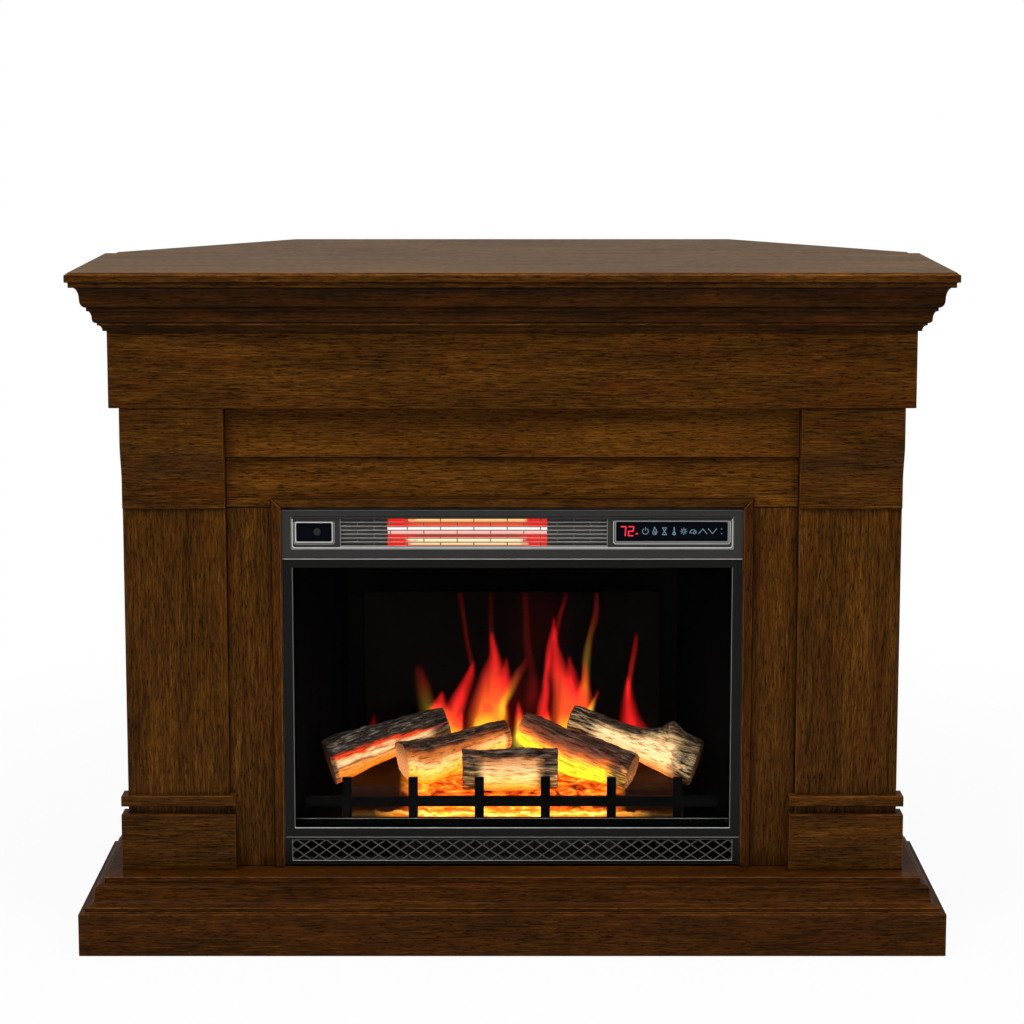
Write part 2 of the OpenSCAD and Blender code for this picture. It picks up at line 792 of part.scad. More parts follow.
// A bay open to the front and the back of the case.
module bay(z0, z1) span([-case_half + sheet_t, fascia_in - eps, z0], [case_half - sheet_t, case_back_in + eps, z1]);

module insert_case() color(black_metal) placed() {
    difference() {
        span([-case_half, fascia_in, case_z], [case_half, case_back_in, case_top]);
        bay(case_z + sheet_t, frame_z);
        bay(bay_z, bay_top);
        bay(bezel_z, case_top - sheet_t);
    }
    for (x = [-1, 1] * (case_half - 2 * foot_r), y = [fascia_in, case_back_in] + [2, -2] * foot_r)
        translate([x, y, base_h]) cylinder(h = case_z - base_h, r = foot_r);
}

// A row of rounded vent slots across the back.
module vent_row(z, count) for (i = [0:count - 1])
    translate([(i - (count - 1) / 2) * vent_pitch[0], z]) {
        square(vent, center = true);
        for (end = [-1, 1] * vent[0] / 2)
            translate([end, 0]) circle(d = vent[1]);
    }

module case_back() color(black_metal) placed() sheet_xz(case_back_in, sheet_t) difference() {
    translate([-case_half, case_z]) square([2 * case_half, case_top - case_z]);
    for (row = [0:upper_vents[1] - 1])
        vent_row(case_top - vent_margin - vent_pitch[1] * row, upper_vents[0]);
    for (row = [0:lower_vents[1] - 1])
        vent_row(case_z + vent_margin + vent_pitch[1] * row, lower_vents[0]);
    translate([gland_x, gland_z]) circle(r = gland_r + gland_fit);
}

module cord_gland() color(black_plastic) placed() translate([gland_x, case_back_in - gland_reach[0], gland_z])
    rotate([-90, 0, 0]) difference() {
        union() {
            cylinder(h = gland_reach[0] + sheet_t + gland_reach[1], r = gland_r);
            translate([0, 0, gland_reach[0] + sheet_t]) cylinder(h = gland_flange[1], r = gland_flange[0]);
        }
        translate([0, 0, -eps]) cylinder(h = gland_reach[0] + sheet_t + gland_reach[1] + 2 * eps, r = gland_bore_r);
    }

// ---- Firebox ----

// The liner's plan at a distance inside its outer face, open to the front.
module liner_plan(inset, front) polygon([
    [-liner_half[0] + inset, fascia_in - front], [-liner_half[0] + inset, fascia_in],
    [-liner_half[1] + inset, fascia_in + liner_d - inset], [liner_half[1] - inset, fascia_in + liner_d - inset],
    [liner_half[0] - inset, fascia_in], [liner_half[0] - inset, fascia_in - front]
]);

module firebox_liner() color(black_plastic) placed() {
    translate([0, 0, bay_z]) linear_extrude(bay_top - bay_z) difference() {
        liner_plan(0, 0);
        liner_plan(liner_t, eps);
    }
    translate([0, 0, pan_z - liner_t]) linear_extrude(liner_t) liner_plan(liner_t / 2, 0);
    span([-liner_half[0] + liner_t, fascia_in, bay_z], [liner_half[0] - liner_t, fascia_in + liner_t, pan_z]);
}

module flame_screen() color(glass) placed()
    span([-screen[0] / 2, screen_y, pan_z], [screen[0] / 2, screen_y + screen[2], pan_z + screen[1]]);

module grate() color(black_metal) placed() {
    y = fascia_in + grate_size[1];
    rail_half = grate_size[0] / 2;
    rail_z = pan_z + grate_rail[0];
    span([-rail_half, y, rail_z], [rail_half, y + grate_size[2], rail_z + grate_rail[1]]);
    for (i = [0:uprights - 1]) {
        x = (i - (uprights - 1) / 2) * upright_pitch;
        span([x - grate_upright[1] / 2, y, pan_z], [x + grate_upright[1] / 2, y + grate_size[2], pan_z + grate_upright[0]]);
    }
}

// Position along a log's stations, for t from 0 to 1, with smooth bends.
function station(path, t) =
    let (n = len(path) - 1, k = min(floor(t * n), n - 1), u = t * n - k)
    let (a = path[max(k - 1, 0)], b = path[k], c = path[k + 1], d = path[min(k + 2, n)])
    b + 0.5 * u * (c - a + u * (2 * a - 5 * b + 4 * c - d + u * (3 * (b - c) + d - a)));

// The radius factor round a log: ridges of bark that fade out towards the smooth underside.
function ridge(angle, t, seed) = 1 + max(0, sin(angle))
    * (0.06 * sin(3 * angle + 50 * seed + 40 * t) + 0.045 * sin(7 * angle + 90 * t + 31 * seed));

// A closed log through its stations, grown by a fit where it is used as a cutter.
module log(index, fit = 0) {
    path = log_paths[index];
    axis = path[len(path) - 1] - path[0];
    along = [axis[0], axis[1], axis[2]] / norm([axis[0], axis[1], axis[2]]);
    side = cross([0, 0, 1], along) / norm(cross([0, 0, 1], along));
    up = cross(along, side);
    points = [
        for (i = [0:log_rings], j = [0:log_sides - 1])
            let (t = i / log_rings, s = station(path, t), a = 360 * j / log_sides)
            let (r = s[3] * ridge(a, t, index), end = (t == 1 ? fit : 0) - (t == 0 ? fit : 0))
            [s[0], fascia_in + s[1], pan_z + s[2]] + end * along
                + (r * log_flatten[index] + fit) * cos(a) * side + (r + fit) * sin(a) * up
    ];
    walls = [
        for (i = [0:log_rings - 1], j = [0:log_sides - 1])
            let (a = i * log_sides + j, b = i * log_sides + (j + 1) % log_sides)
            each [[a, b, b + log_sides], [a, b + log_sides, a + log_sides]]
    ];
    first = [for (j = [log_sides - 1:-1:0]) j];
    last = [for (j = [0:log_sides - 1]) log_rings * log_sides + j];
    polyhedron(points, concat([first, last], walls), convexity = 4);
}

module log_1() color(bark) placed() log(0);

module log_2() color(bark) placed() log(1);

module log_3() color(bark) placed() log(2);

module log_4() color(bark) placed() log(3);

module log_5() color(bark) placed() log(4);

// The bed rises in a steep front and a gentle slope, with a pocket under each log and a row
// of embers, turned every way, along its front.
module ember_bed() color(ember) placed() {
    difference() {
        along_x(-bed_size[0], bed_size[0]) polygon([
            [bed_y, pan_z], [bed_y, pan_z + bed_heights[0]],
            [bed_y + bed_folds[0], pan_z + bed_heights[1]], [bed_y + bed_folds[1], pan_z + bed_heights[2]],
            [bed_y + bed_size[1], pan_z + bed_heights[3]], [bed_y + bed_size[1], pan_z]
        ]);
        for (i = [0:len(log_paths) - 1])
            log(i, pocket_fit);
    }
    for (i = [0:embers - 1])
        translate([
            (i - (embers - 1) / 2) * ember_pitch,
            bed_y + ember_in,
            pan_z + bed_heights[1] - ember_drop + ember_stir * sin(97 * i)
        ])
            rotate(i * ember_turn) cube(ember_size, center = true);
}

// ---- Flame mechanism ----

module spindle_cradle() color(steel) placed() {
    half = cradle_w / 2;
    y = spindle_y - cradle_d / 2;
    difference() {
        union() {
            span([-half - cradle_t, y, pan_z], [half + cradle_t, y + cradle_d, pan_z + cradle_t]);
            for (x = [-half - cradle_t, half])
                span([x, y, pan_z], [x + cradle_t, y + cradle_d, spindle_axis_z + cradle_d / 2]);
        }
        translate([0, spindle_y, spindle_axis_z]) rod_x(-half - cradle_t - eps, half + cradle_t + eps, rod_r + run_fit);
    }
}

spindle_reach = 6;       // length of rod beyond each ear
end_play = 0.3;          // gap at the end of a shaft

module spindle_motor() color(steel) placed() difference() {
    x = cradle_w / 2 + cradle_t;
    translate([0, spindle_y, spindle_axis_z]) rod_x(x, x + spindle_motor_size[1], spindle_motor_size[0]);
    translate([0, spindle_y, spindle_axis_z]) rod_x(x - eps, x + spindle_reach + end_play, rod_r + run_fit);
}

module flame_spindle() color(steel) placed() translate([0, spindle_y, spindle_axis_z]) {
    reach = cradle_w / 2 + cradle_t + spindle_reach;
    pitch = (cradle_w - blade_l) / blades;
    rod_x(-reach, reach, rod_r);
    for (i = [0:blades - 1])
        translate([(i - (blades - 1) / 2) * pitch, 0, 0]) rotate([blade_turn * i, 0, 0])
            cube([blade_l, blade_t, 2 * blade_r], center = true);
}

// ---- Blower and heater ----

scroll_t = 1.2;          // sheet of the fan's scroll
scroll_mouth = 0.6;      // rearward end of the scroll's upper mouth, as a share of its radius
scroll_open = 0.2;       // depth that the lower mouth cuts into the scroll's round
scroll_r = fan_r + fan_gap;

module blower_housing() color(black_metal) placed() {
    half = plate_x + sheet_t;
    y = fan_y - scroll_r - scroll_t;
    difference() {
        for (x = [-half, plate_x])
            span([x, y, bezel_z], [x + sheet_t, fan_y + scroll_r + scroll_t, fan_axis_z + scroll_r]);
        translate([0, fan_y, fan_axis_z]) rod_x(-half - eps, half + eps, shaft_r + run_fit);
    }
    translate([0, fan_y, fan_axis_z]) rotate([90, 0, 90]) translate([0, 0, -plate_x - eps / 2])
        linear_extrude(2 * plate_x + eps) difference() {
            circle(r = scroll_r + scroll_t);
            circle(r = scroll_r);
            polygon([[0, 0], [-2, -1] * scroll_r, [-2, 2] * scroll_r, [scroll_mouth, 2] * scroll_r]);
            translate([-scroll_r, -2 * scroll_r]) square([2 * scroll_r, scroll_r + scroll_open]);
        }
}

shaft_reach = 6;         // length of shaft inside the motor
motor_nose = 9;          // length of the motor's bearing beyond its stack

module blower_motor() color(steel) placed() difference() {
    x = plate_x + sheet_t;
    union() {
        span([x, fan_y - motor_size[1] / 2, fan_axis_z - motor_size[2] / 2],
            [x + motor_size[0], fan_y + motor_size[1] / 2, fan_axis_z + motor_size[2] / 2]);
        translate([0, fan_y, fan_axis_z]) rod_x(x, x + motor_size[0] + motor_nose, motor_size[1] / 4);
    }
    translate([0, fan_y, fan_axis_z]) rod_x(x - eps, x + shaft_reach + end_play, shaft_r + run_fit);
}

blade_inset = 0.3;       // distance of the fan blades inside the discs' rim
tube_seat = 2;           // length of a quartz tube inside its holder

// The fan's cross-section: curved blades near the rim.
module fan_section() for (i = [0:fan_blades - 1])
    rotate(360 * i / fan_blades) translate([fan_r - fan_blade[0] - blade_inset, 0]) difference() {
        circle(r = fan_blade[0]);
        circle(r = fan_blade[0] - fan_blade[1]);
        translate([-2 * fan_blade[0], -fan_blade[0]]) square([2 * fan_blade[0], 2 * fan_blade[0]]);
        translate([-eps, -2 * fan_blade[0]]) square([2 * fan_blade[0], 2 * fan_blade[0]]);
    }

module blower_impeller() color(black_plastic) placed() translate([0, fan_y, fan_axis_z]) {
    for (x = [-fan_half, -disc_t / 2, fan_half - disc_t])
        rod_x(x, x + disc_t, fan_r);
    rotate([90, 0, 90]) translate([0, 0, -fan_half + disc_t / 2]) linear_extrude(fan_l - disc_t) fan_section();
    rod_x(-plate_x - sheet_t - shaft_reach, -fan_half + disc_t / 2, shaft_r);
    rod_x(fan_half - disc_t / 2, plate_x + sheet_t + shaft_reach, shaft_r);
}

module quartz_heater() color(quartz) placed() {
    for (z = [-1, 1] * tube_pitch / 2)
        translate([0, tube_y, tube_z + z])
            rod_x(heater_x - tube_l / 2 - tube_seat, heater_x + tube_l / 2 + tube_seat, tube_r);
    for (x = [heater_x - tube_l / 2 - holder[0], heater_x + tube_l / 2])
        span([x, tube_y - holder[1] / 2, tube_z - tube_pitch], [x + holder[0], tube_y + holder[1] / 2, tube_z + tube_pitch]);
}

module heat_reflector() color(steel) placed() {
    half = tube_l / 2 + holder[0] + reflector[2];
    y = reflector_y;
    back = y + reflector[0];
    z = bezel_z + reflector[1];
    along_x(heater_x - half, heater_x + half) polygon([
        [y, bezel_z], [back, bezel_z], [back, z], [y, z], [y, z - sheet_t],
        [back - sheet_t, z - sheet_t], [back - sheet_t, bezel_z + sheet_t], [y, bezel_z + sheet_t]
    ]);
}

board_thick = 1.6;       // circuit board
board_inset = 2;         // inset of the control board from the display's edge
chips = 4;               // chips on the control board: count, pitch, first one's place and size
chip_pitch = 36;
chip_at = [16, 8];
chip = [14, 14];
part_h = 3;              // height of the chips and of the lamps over their boards
lamp_board = [190, 6];   // half length and half width of the lamp board under the spindle
lamps = 8;
lamp_pitch = 48;
lamp_r = 2.5;

module circuit_boards() color(green_board) placed() {
    control_y = plate_in + plate_t;
    sheet_xz(control_y, board_thick) display_outline(-board_inset);
    for (i = [0:chips - 1]) {
        x = display_x + chip_at[0] + chip_pitch * i;
        z = strip_z + display_at[1] + chip_at[1];
        span([x, control_y, z], [x + chip[0], control_y + board_thick + part_h, z + chip[1]]);
    }
    led_z = pan_z + cradle_t;
    span([-lamp_board[0], spindle_y - lamp_board[1], led_z],
        [lamp_board[0], spindle_y + lamp_board[1], led_z + board_thick]);
    for (i = [0:lamps - 1])
        translate([(i - (lamps - 1) / 2) * lamp_pitch, spindle_y, led_z]) cylinder(h = board_thick + part_h, r = lamp_r);
}

top_slab();
corner_top();
corner_battens();
crown_front();
crown_left();
crown_right();
frieze_front();
frieze_left();
frieze_right();
capital_left();
capital_right();
pilaster_left();
pilaster_right();
plinth_left();
plinth_right();
header_upper();
header_lower();
stile_left();
stile_right();
trim_top();
trim_left();
trim_right();
side_panel_left();
side_panel_right();
jambs();
insert_shelf();
back_panel();
base_front();
base_left();
base_right();
base_rail();
hearth_board();
insert_case();
case_back();
cord_gland();
top_bezel();
heater_grille();
sensor_window();
display_panel();
glass_frame();
front_glass();
lower_grille();
firebox_liner();
flame_screen();
ember_bed();
grate();
log_1();
log_2();
log_3();
log_4();
log_5();
spindle_cradle();
spindle_motor();
flame_spindle();
blower_housing();
blower_motor();
blower_impeller();
quartz_heater();
heat_reflector();
circuit_boards();
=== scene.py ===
import math
from functools import partial

import bmesh
import bpy
from mathutils import Matrix, Vector, noise


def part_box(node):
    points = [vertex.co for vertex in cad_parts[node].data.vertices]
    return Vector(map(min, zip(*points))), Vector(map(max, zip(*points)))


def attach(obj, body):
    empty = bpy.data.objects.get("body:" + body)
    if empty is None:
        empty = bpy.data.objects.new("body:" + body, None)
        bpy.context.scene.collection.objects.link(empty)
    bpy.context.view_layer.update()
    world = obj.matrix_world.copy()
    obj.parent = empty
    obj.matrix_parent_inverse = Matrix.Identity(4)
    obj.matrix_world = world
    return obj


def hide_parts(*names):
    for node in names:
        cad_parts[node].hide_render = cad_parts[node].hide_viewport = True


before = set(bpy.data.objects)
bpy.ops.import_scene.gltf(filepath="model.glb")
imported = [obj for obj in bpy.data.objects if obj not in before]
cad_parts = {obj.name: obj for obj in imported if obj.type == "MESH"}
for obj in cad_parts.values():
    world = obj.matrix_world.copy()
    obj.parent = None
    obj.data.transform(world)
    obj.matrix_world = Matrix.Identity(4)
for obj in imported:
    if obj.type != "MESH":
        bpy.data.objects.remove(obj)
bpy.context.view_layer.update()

# ---- Room, lights and camera ----
# A pale floor and a white surrounding, with large soft lamps above the front corners. The
# camera stands in front and a little above the mantel.


def paint(code):
    """An sRGB hex colour as Blender's linear colour."""
    parts = [int(code[i:i + 2], 16) / 255 for i in (1, 3, 5)]
    return [c / 12.92 if c <= 0.04045 else ((c + 0.055) / 1.055) ** 2.4 for c in parts] + [1.0]


def put(tree, kind, inputs=(), stops=(), **settings):
    """Adds one shader node with its settings, a ramp's stops, and its sockets' values or links.

    A word after the kind is its operation or data type. A node given for a socket means that
    node's first live output."""
    kind, _, choice = kind.partition(" ")
    made = tree.nodes.new("ShaderNode" + kind)
    if choice:
        setattr(made, "data_type" if kind == "Mix" else "operation", choice)
    for name, value in settings.items():
        setattr(made, name, value)
    for socket, value in dict(inputs).items():
        if isinstance(value, bpy.types.Node):
            value = next(output for output in value.outputs if output.enabled)
        if isinstance(value, bpy.types.NodeSocket):
            tree.links.new(value, made.inputs[socket])
        else:
            made.inputs[socket].default_value = value
    ends = {0: 0, len(stops) - 1: -1}
    for i, (spot, colour) in enumerate(stops):
        ramp = made.color_ramp.elements
        stop = ramp[ends[i]] if i in ends else ramp.new(spot)
        stop.position = spot
        stop.color = paint(colour)
    return made


def cleared(owner):
    """Empties the nodes of a material or world, and gives back put for its tree."""
    owner.use_nodes = True
    owner.node_tree.nodes.clear()
    return partial(put, owner.node_tree)


def new_finish(name):
    """A new material, and the function that adds its nodes."""
    finish = bpy.data.materials.new(name)
    return finish, cleared(finish)


scene = bpy.context.scene
scene.view_settings.view_transform = "Standard"

# The photo's camera is level at 1.37 m, with its picture shifted far down. The other views keep
# the shift, so here it is small, and a tilt from a lower point makes up for it.
PHOTO_WIDTH = 1024
FOCAL_PIXELS = 2460.6
SENSOR_WIDTH = 36
TILT_DOWN = 7.276
camera = bpy.data.objects.new("camera", bpy.data.cameras.new("camera"))
scene.collection.objects.link(camera)
camera.location = (0, -3.6408, 1.2797)
camera.rotation_euler = (math.radians(90 - TILT_DOWN), 0, 0)
camera.data.lens = FOCAL_PIXELS * SENSOR_WIDTH / PHOTO_WIDTH
camera.data.sensor_width = SENSOR_WIDTH
camera.data.shift_x = -0.0003
camera.data.shift_y = -0.15
scene.camera = camera

LAMPS_AIM_AT = Vector((0, 0, 0.5))
for name, at, size, watts in (
    ("lamp_left", (-1.5, -1.7, 2.6), 1.2, 46),
    ("lamp_right", (1.6, -1.6, 2.5), 1.2, 38),
    ("lamp_top", (0, -0.6, 3.5), 1.6, 30),
):
    lamp = bpy.data.objects.new(name, bpy.data.lights.new(name, "AREA"))
    lamp.data.size = size
    lamp.data.energy = watts
    lamp.location = at
    lamp.rotation_euler = (LAMPS_AIM_AT - Vector(at)).to_track_quat("-Z", "Y").to_euler()
    scene.collection.objects.link(lamp)

# The surrounding is white where the camera sees it, also through the glass. It lights the
# object only faintly, and what gloss mirrors of it is dark in front and paler behind.
scene.world = bpy.data.worlds.new("studio")
add = cleared(scene.world)
ray = add("LightPath").outputs
heading = add("SeparateXYZ", {0: add("TexCoord").outputs["Generated"]})
behind = add("MapRange", {0: heading.outputs["Y"], 1: -0.5, 2: 0.5, 3: 0.03, 4: 0.5})
mirrored = add("Mix FLOAT", {0: ray["Is Glossy Ray"], 2: 0.2, 3: behind})
bounces = add("Math ADD", {0: ray["Diffuse Depth"], 1: ray["Glossy Depth"]})
unbent = add("Math LESS_THAN", {0: bounces, 1: 0.5})
through = add("Math MULTIPLY", {0: ray["Is Transmission Ray"], 1: unbent})
seen = add("Math MAXIMUM", {0: ray["Is Camera Ray"], 1: through})
level = add("Mix FLOAT", {0: seen, 2: mirrored, 3: 1.0})
sky = add("Background", {"Color": (1, 1, 1, 1), "Strength": level})
add("OutputWorld", {"Surface": sky})

# Matt pale paint that turns to plain white to the eye away from the object's shadow.
floor_paint, add = new_finish("pale_floor")
matt = add("BsdfDiffuse", {"Color": paint("#f2f2f2")})
white = add("Emission", {"Strength": 1.0})
reach = add("VectorMath LENGTH", {0: add("TexCoord").outputs["Object"]})
away = add("MapRange", {0: reach, 1: 0.7, 2: 1.9, 3: 0.93, 4: 1.0},
           interpolation_type="SMOOTHSTEP")
share = add("Math MULTIPLY", {0: add("LightPath").outputs["Is Camera Ray"], 1: away})
add("OutputMaterial", {"Surface": add("MixShader", {0: share, 1: matt, 2: white})})
bm = bmesh.new()
bmesh.ops.create_grid(bm, x_segments=1, y_segments=1, size=14)
floor_mesh = bpy.data.meshes.new("floor")
bm.to_mesh(floor_mesh)
bm.free()
floor_mesh.materials.append(floor_paint)
floor = bpy.data.objects.new("floor", floor_mesh)
scene.collection.objects.link(floor)

# ---- Top slab and corner top ----
# Veneered board with a solid stepped edge, and a second, narrower board behind it that is cut
# at 45 degrees for the room's corner. Dark walnut stain under satin lacquer.

GRAIN_TURN = {"x": (0, 0, 0), "y": (0, 0, math.radians(90)), "z": (0, math.radians(90), 0)}
# Stain from the darkest lines of the figure to the palest, and where each lies in the figure. face
# is the wood's own stain; the other rows are that stain with light or shade painted in.
STAIN_STEPS = (0.32, 0.42, 0.50, 0.58, 0.68)
STAINS_AND_PAINTED_LIGHT = {
    "face": ("#150901", "#321b05", "#462808", "#56330c", "#754919"),
    # edge: paler, a painted highlight for eased edges and low fillets
    "edge": ("#241204", "#4a290b", "#613911", "#754819", "#8f5c26"),
    # top: paler, a painted sheen for upward faces
    "top": ("#201103", "#493114", "#5b3f1c", "#6c4b22", "#8a6330"),
    # header: paler, painted light that offsets the shadow under the frieze
    "header": ("#1c0c02", "#3e2206", "#533009", "#643c0e", "#81511c"),
    # base: darker, painted shade for the low pieces and the side trims
    "base": ("#120701", "#2c1603", "#3d2005", "#4b2807", "#673a10"),
    # crown: darker, painted shade for the crown's overhang and coves
    "crown": ("#0f0601", "#261302", "#351c04", "#412306", "#5a3209"),
    # cove: darkest, painted shade for faces towards the floor and a painted shadow at joints
    "cove": ("#090401", "#160902", "#201002", "#2a1604", "#3a2008"),
}
RED_FIGURE = "#5e2a0a"
OPEN_PORES = "#120701"


def walnut(grain, cut, stain):
    """Sliced walnut veneer, stained, under satin lacquer: dark lines and short open pores.

    The grain runs along one axis, and cut picks another part of the flitch. stain picks a row of
    the stain table, and some rows paint light or shade into the wood."""
    finish, add = new_finish(f"walnut_{stain}_{grain}{cut}")
    turned = add("Mapping", {"Vector": add("TexCoord").outputs["Object"],
                             "Rotation": GRAIN_TURN[grain],
                             "Location": (1.7 * cut, 0.63 * cut, 0.41 * cut)})

    def fibre(along_mm, across_mm, detail, rough=0.5, bend=0.0):
        """Noise drawn out along the grain, with the given cell in millimetres."""
        cell = (1000 / along_mm, 1000 / across_mm, 1000 / across_mm)
        sized = add("VectorMath MULTIPLY", {0: turned, 1: cell})
        return add("TexNoise", {"Vector": sized, "Scale": 1.0, "Detail": detail,
                                "Roughness": rough, "Distortion": bend})

    # Flitch tone over decimetres, annual lines a few millimetres wide, and open pores. The
    # pores are 0.2 mm wide in real walnut and are drawn at 1 mm, so that they show.
    tone = fibre(260, 30, 3, 0.55)
    lines = fibre(34, 2.1, 5, 0.68, 0.1)
    pores = fibre(11, 1.1, 2)
    figure = fibre(120, 24, 3)
    mixed = add("Mix FLOAT", {0: 0.3, 2: lines, 3: tone})
    wood = add("ValToRGB", {"Fac": mixed}, list(zip(STAIN_STEPS, STAINS_AND_PAINTED_LIGHT[stain])))
    red_share = add("MapRange", {0: figure, 1: 0.52, 2: 0.74, 3: 0.0, 4: 0.3})
    warm = add("Mix RGBA", {0: red_share, 6: wood, 7: paint(RED_FIGURE)})
    open_pore = add("MapRange", {0: pores, 1: 0.37, 2: 0.45, 3: 0.8, 4: 0.0})
    colour = add("Mix RGBA", {0: open_pore, 6: warm, 7: paint(OPEN_PORES)})
    gloss = add("MapRange", {0: pores, 1: 0.3, 2: 0.6, 3: 0.5, 4: 0.36})
    relief = add("Bump", {"Strength": 0.16, "Distance": 0.0006, "Height": pores})
    add("OutputMaterial", {"Surface": add("BsdfPrincipled", {
        "Base Color": colour, "Roughness": gloss, "Normal": relief, "Specular IOR Level": 0.1,
        "IOR": 1.3})})
    return finish


def merged(node):
    """A copy of a CAD node with its loose triangles joined and its flat faces made whole."""
    bm = bmesh.new()
    bm.from_mesh(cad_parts[node].data)
    bmesh.ops.remove_doubles(bm, verts=bm.verts, dist=0.00001)
    bmesh.ops.dissolve_limit(bm, angle_limit=math.radians(0.6), verts=bm.verts, edges=bm.edges)
    return bm


def sharp_edges(bm):
    """The edges at which two faces turn by more than 28 degrees."""
    return [e for e in bm.edges
            if len(e.link_faces) == 2 and e.calc_face_angle(0) > math.radians(28)]


def ease(bm, width, edges=None):
    """Takes the sharp edges, or the given ones, off by a width in millimetres."""
    return bmesh.ops.bevel(
        bm, geom=sharp_edges(bm) if edges is None else edges, offset=width / 1000,
        offset_type="OFFSET", segments=1, profile=0.5, affect="EDGES", material=-1,
        clamp_overlap=True)["faces"]


def keep(name, bm, finishes, body="mantel", node=None, smooth=24):
    """Makes the mesh a piece of the object that rides on a body and stands for a CAD node."""
    mesh = bpy.data.meshes.new(name)
    bm.to_mesh(mesh)
    bm.free()
    for finish in finishes:
        mesh.materials.append(finish)
    mesh.shade_smooth()
    mesh.set_sharp_from_angle(angle=math.radians(smooth))
    piece = bpy.data.objects.new(name, mesh)
    scene.collection.objects.link(piece)
    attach(piece, body)
    if node:
        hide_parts(node)


def plainly_finished(node, name, finish, width, body="mantel"):
    """A CAD node in one finish, with its edges taken off by a width in millimetres."""
    bm = merged(node)
    ease(bm, width)
    keep(f"{node}_{name}", bm, [finish], body, node)


# Slots after the piece's own stain: a painted highlight, painted shade and a painted sheen.
PAINTED_HIGHLIGHT, PAINTED_SHADE, PAINTED_SHEEN = 1, 2, 3
NEAR_JOINT = 0.0015         # eased edges this near a joined side take the dark stain, a painted shadow


def veneered(node, grain, cut, width=0.9, joints="", cove=-0.12, stain="face", top=None,
             fillet=0):
    """A wooden CAD node with its own cut of veneer, and its edges eased by a width.

    Eased edges, and upright fillets lower than the given height, take a paler stain as a painted
    highlight. Whatever faces the floor by more than cove says takes a dark stain as painted shade,
    and so do eased edges at a joint, as a painted shadow: joints names the sides, as in top,
    bottom, left and right. top names a paler stain for upward faces, a painted sheen."""
    stains = [walnut(grain, cut, tint) for tint in (stain, "edge", "cove", top) if tint]
    bm = merged(node)
    low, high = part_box(node)
    # Faces towards the floor get painted shade, upward faces a painted sheen when top is given,
    # and low upright fillets a painted highlight.
    for face in bm.faces:
        heights = [v.co.z for v in face.verts]
        if face.normal.z < cove:
            face.material_index = PAINTED_SHADE
        elif top and face.normal.z > 0.9:
            face.material_index = PAINTED_SHEEN
        elif abs(face.normal.z) < 0.01 and max(heights) - min(heights) < fillet / 1000:
            face.material_index = PAINTED_HIGHLIGHT
    # Eased edges get a painted highlight, or painted shade where they face the floor and a painted
    # shadow at a joint.
    shade_bevel_tilt = -0.4 if cove > -0.8 else -0.9
    for face in ease(bm, width):
        at = face.calc_center_median()
        gaps = {"T": high.z - at.z, "B": at.z - low.z, "L": at.x - low.x, "R": high.x - at.x}
        joined = any(gaps[side] < NEAR_JOINT for side in joints)
        face.material_index = PAINTED_SHADE if joined or face.normal.z < shade_bevel_tilt else PAINTED_HIGHLIGHT
    keep(node + "_veneered", bm, stains, node=node)


# The upward faces of both boards take the paler top stain, a painted sheen.
veneered("top_slab", "x", 0, top="top")
veneered("corner_top", "x", 1, 1.5, top="top")

# ---- Crown moulding ----
# Solid wood run in three coves and beads, mitred at both front corners and glued under the slab.

# The crown takes the darker crown stain, painted shade for its overhang and coves, and its fillets
# under 5 mm high a painted highlight.
for node, grain, cut in (("crown_front", "x", 2), ("crown_left", "y", 2), ("crown_right", "y", 3)):
    veneered(node, grain, cut, 0.75, cove=-0.7, stain="crown", fillet=5)

# ---- Frieze, capitals and pilasters ----
# Veneered boards. The capitals curve in to a small foot, and the pilasters' grain stands upright.

veneered("frieze_front", "x", 3, cove=-0.9)
veneered("frieze_left", "y", 4, cove=-0.9)
veneered("frieze_right", "y", 5, cove=-0.9)
# The capitals' and pilasters' eased edges at their top and bottom joints take a dark stain, a
# painted shadow.
for i, side in enumerate(("left", "right")):
    veneered("capital_" + side, "x", 4 + i, 1.1, "TB", -0.9)
    veneered("pilaster_" + side, "z", i, 1.1, "TB")
    veneered("plinth_" + side, "x", 6 + i)

# ---- Surround ----
# Two headers and two stiles round the opening, and a mitred flat trim that covers the gap
# between them and the insert.

# The headers take the paler header stain, painted light that offsets the shadow under the frieze.
# Eased edges at the named joints of headers, stiles and trims take a dark stain, a painted shadow.
veneered("header_upper", "x", 21, 1.3, "TBLR", stain="header")
veneered("header_lower", "x", 9, 1.3, "TLR", stain="header")
veneered("stile_left", "z", 2, 1.1, "TLR")
veneered("stile_right", "z", 3, 1.1, "TLR")
veneered("trim_top", "x", 10, 1.5, "T")
# The side trims take the darker base stain, painted shade to match the shaded top trim.
veneered("trim_left", "z", 4, 1.5, "L", stain="base")
veneered("trim_right", "z", 5, 1.5, "R", stain="base")

# ---- Base ----
# A mitred band with a fillet, cove and bead on three sides, and the hearth board let in on top.

# The base and the hearth board take the darker base stain, painted shade low down.
veneered("base_front", "x", 11, 0.6, stain="base")
veneered("base_left", "y", 6, 0.6, stain="base")
veneered("base_right", "y", 7, 0.6, stain="base")
veneered("hearth_board", "x", 12, stain="base")

# ---- Carcase ----
# Side panels in the same veneer as the front, and the unseen boards: jambs, shelf and battens
# of raw fibreboard, a stained rail, and a thin hardboard back. Glued and dowelled.


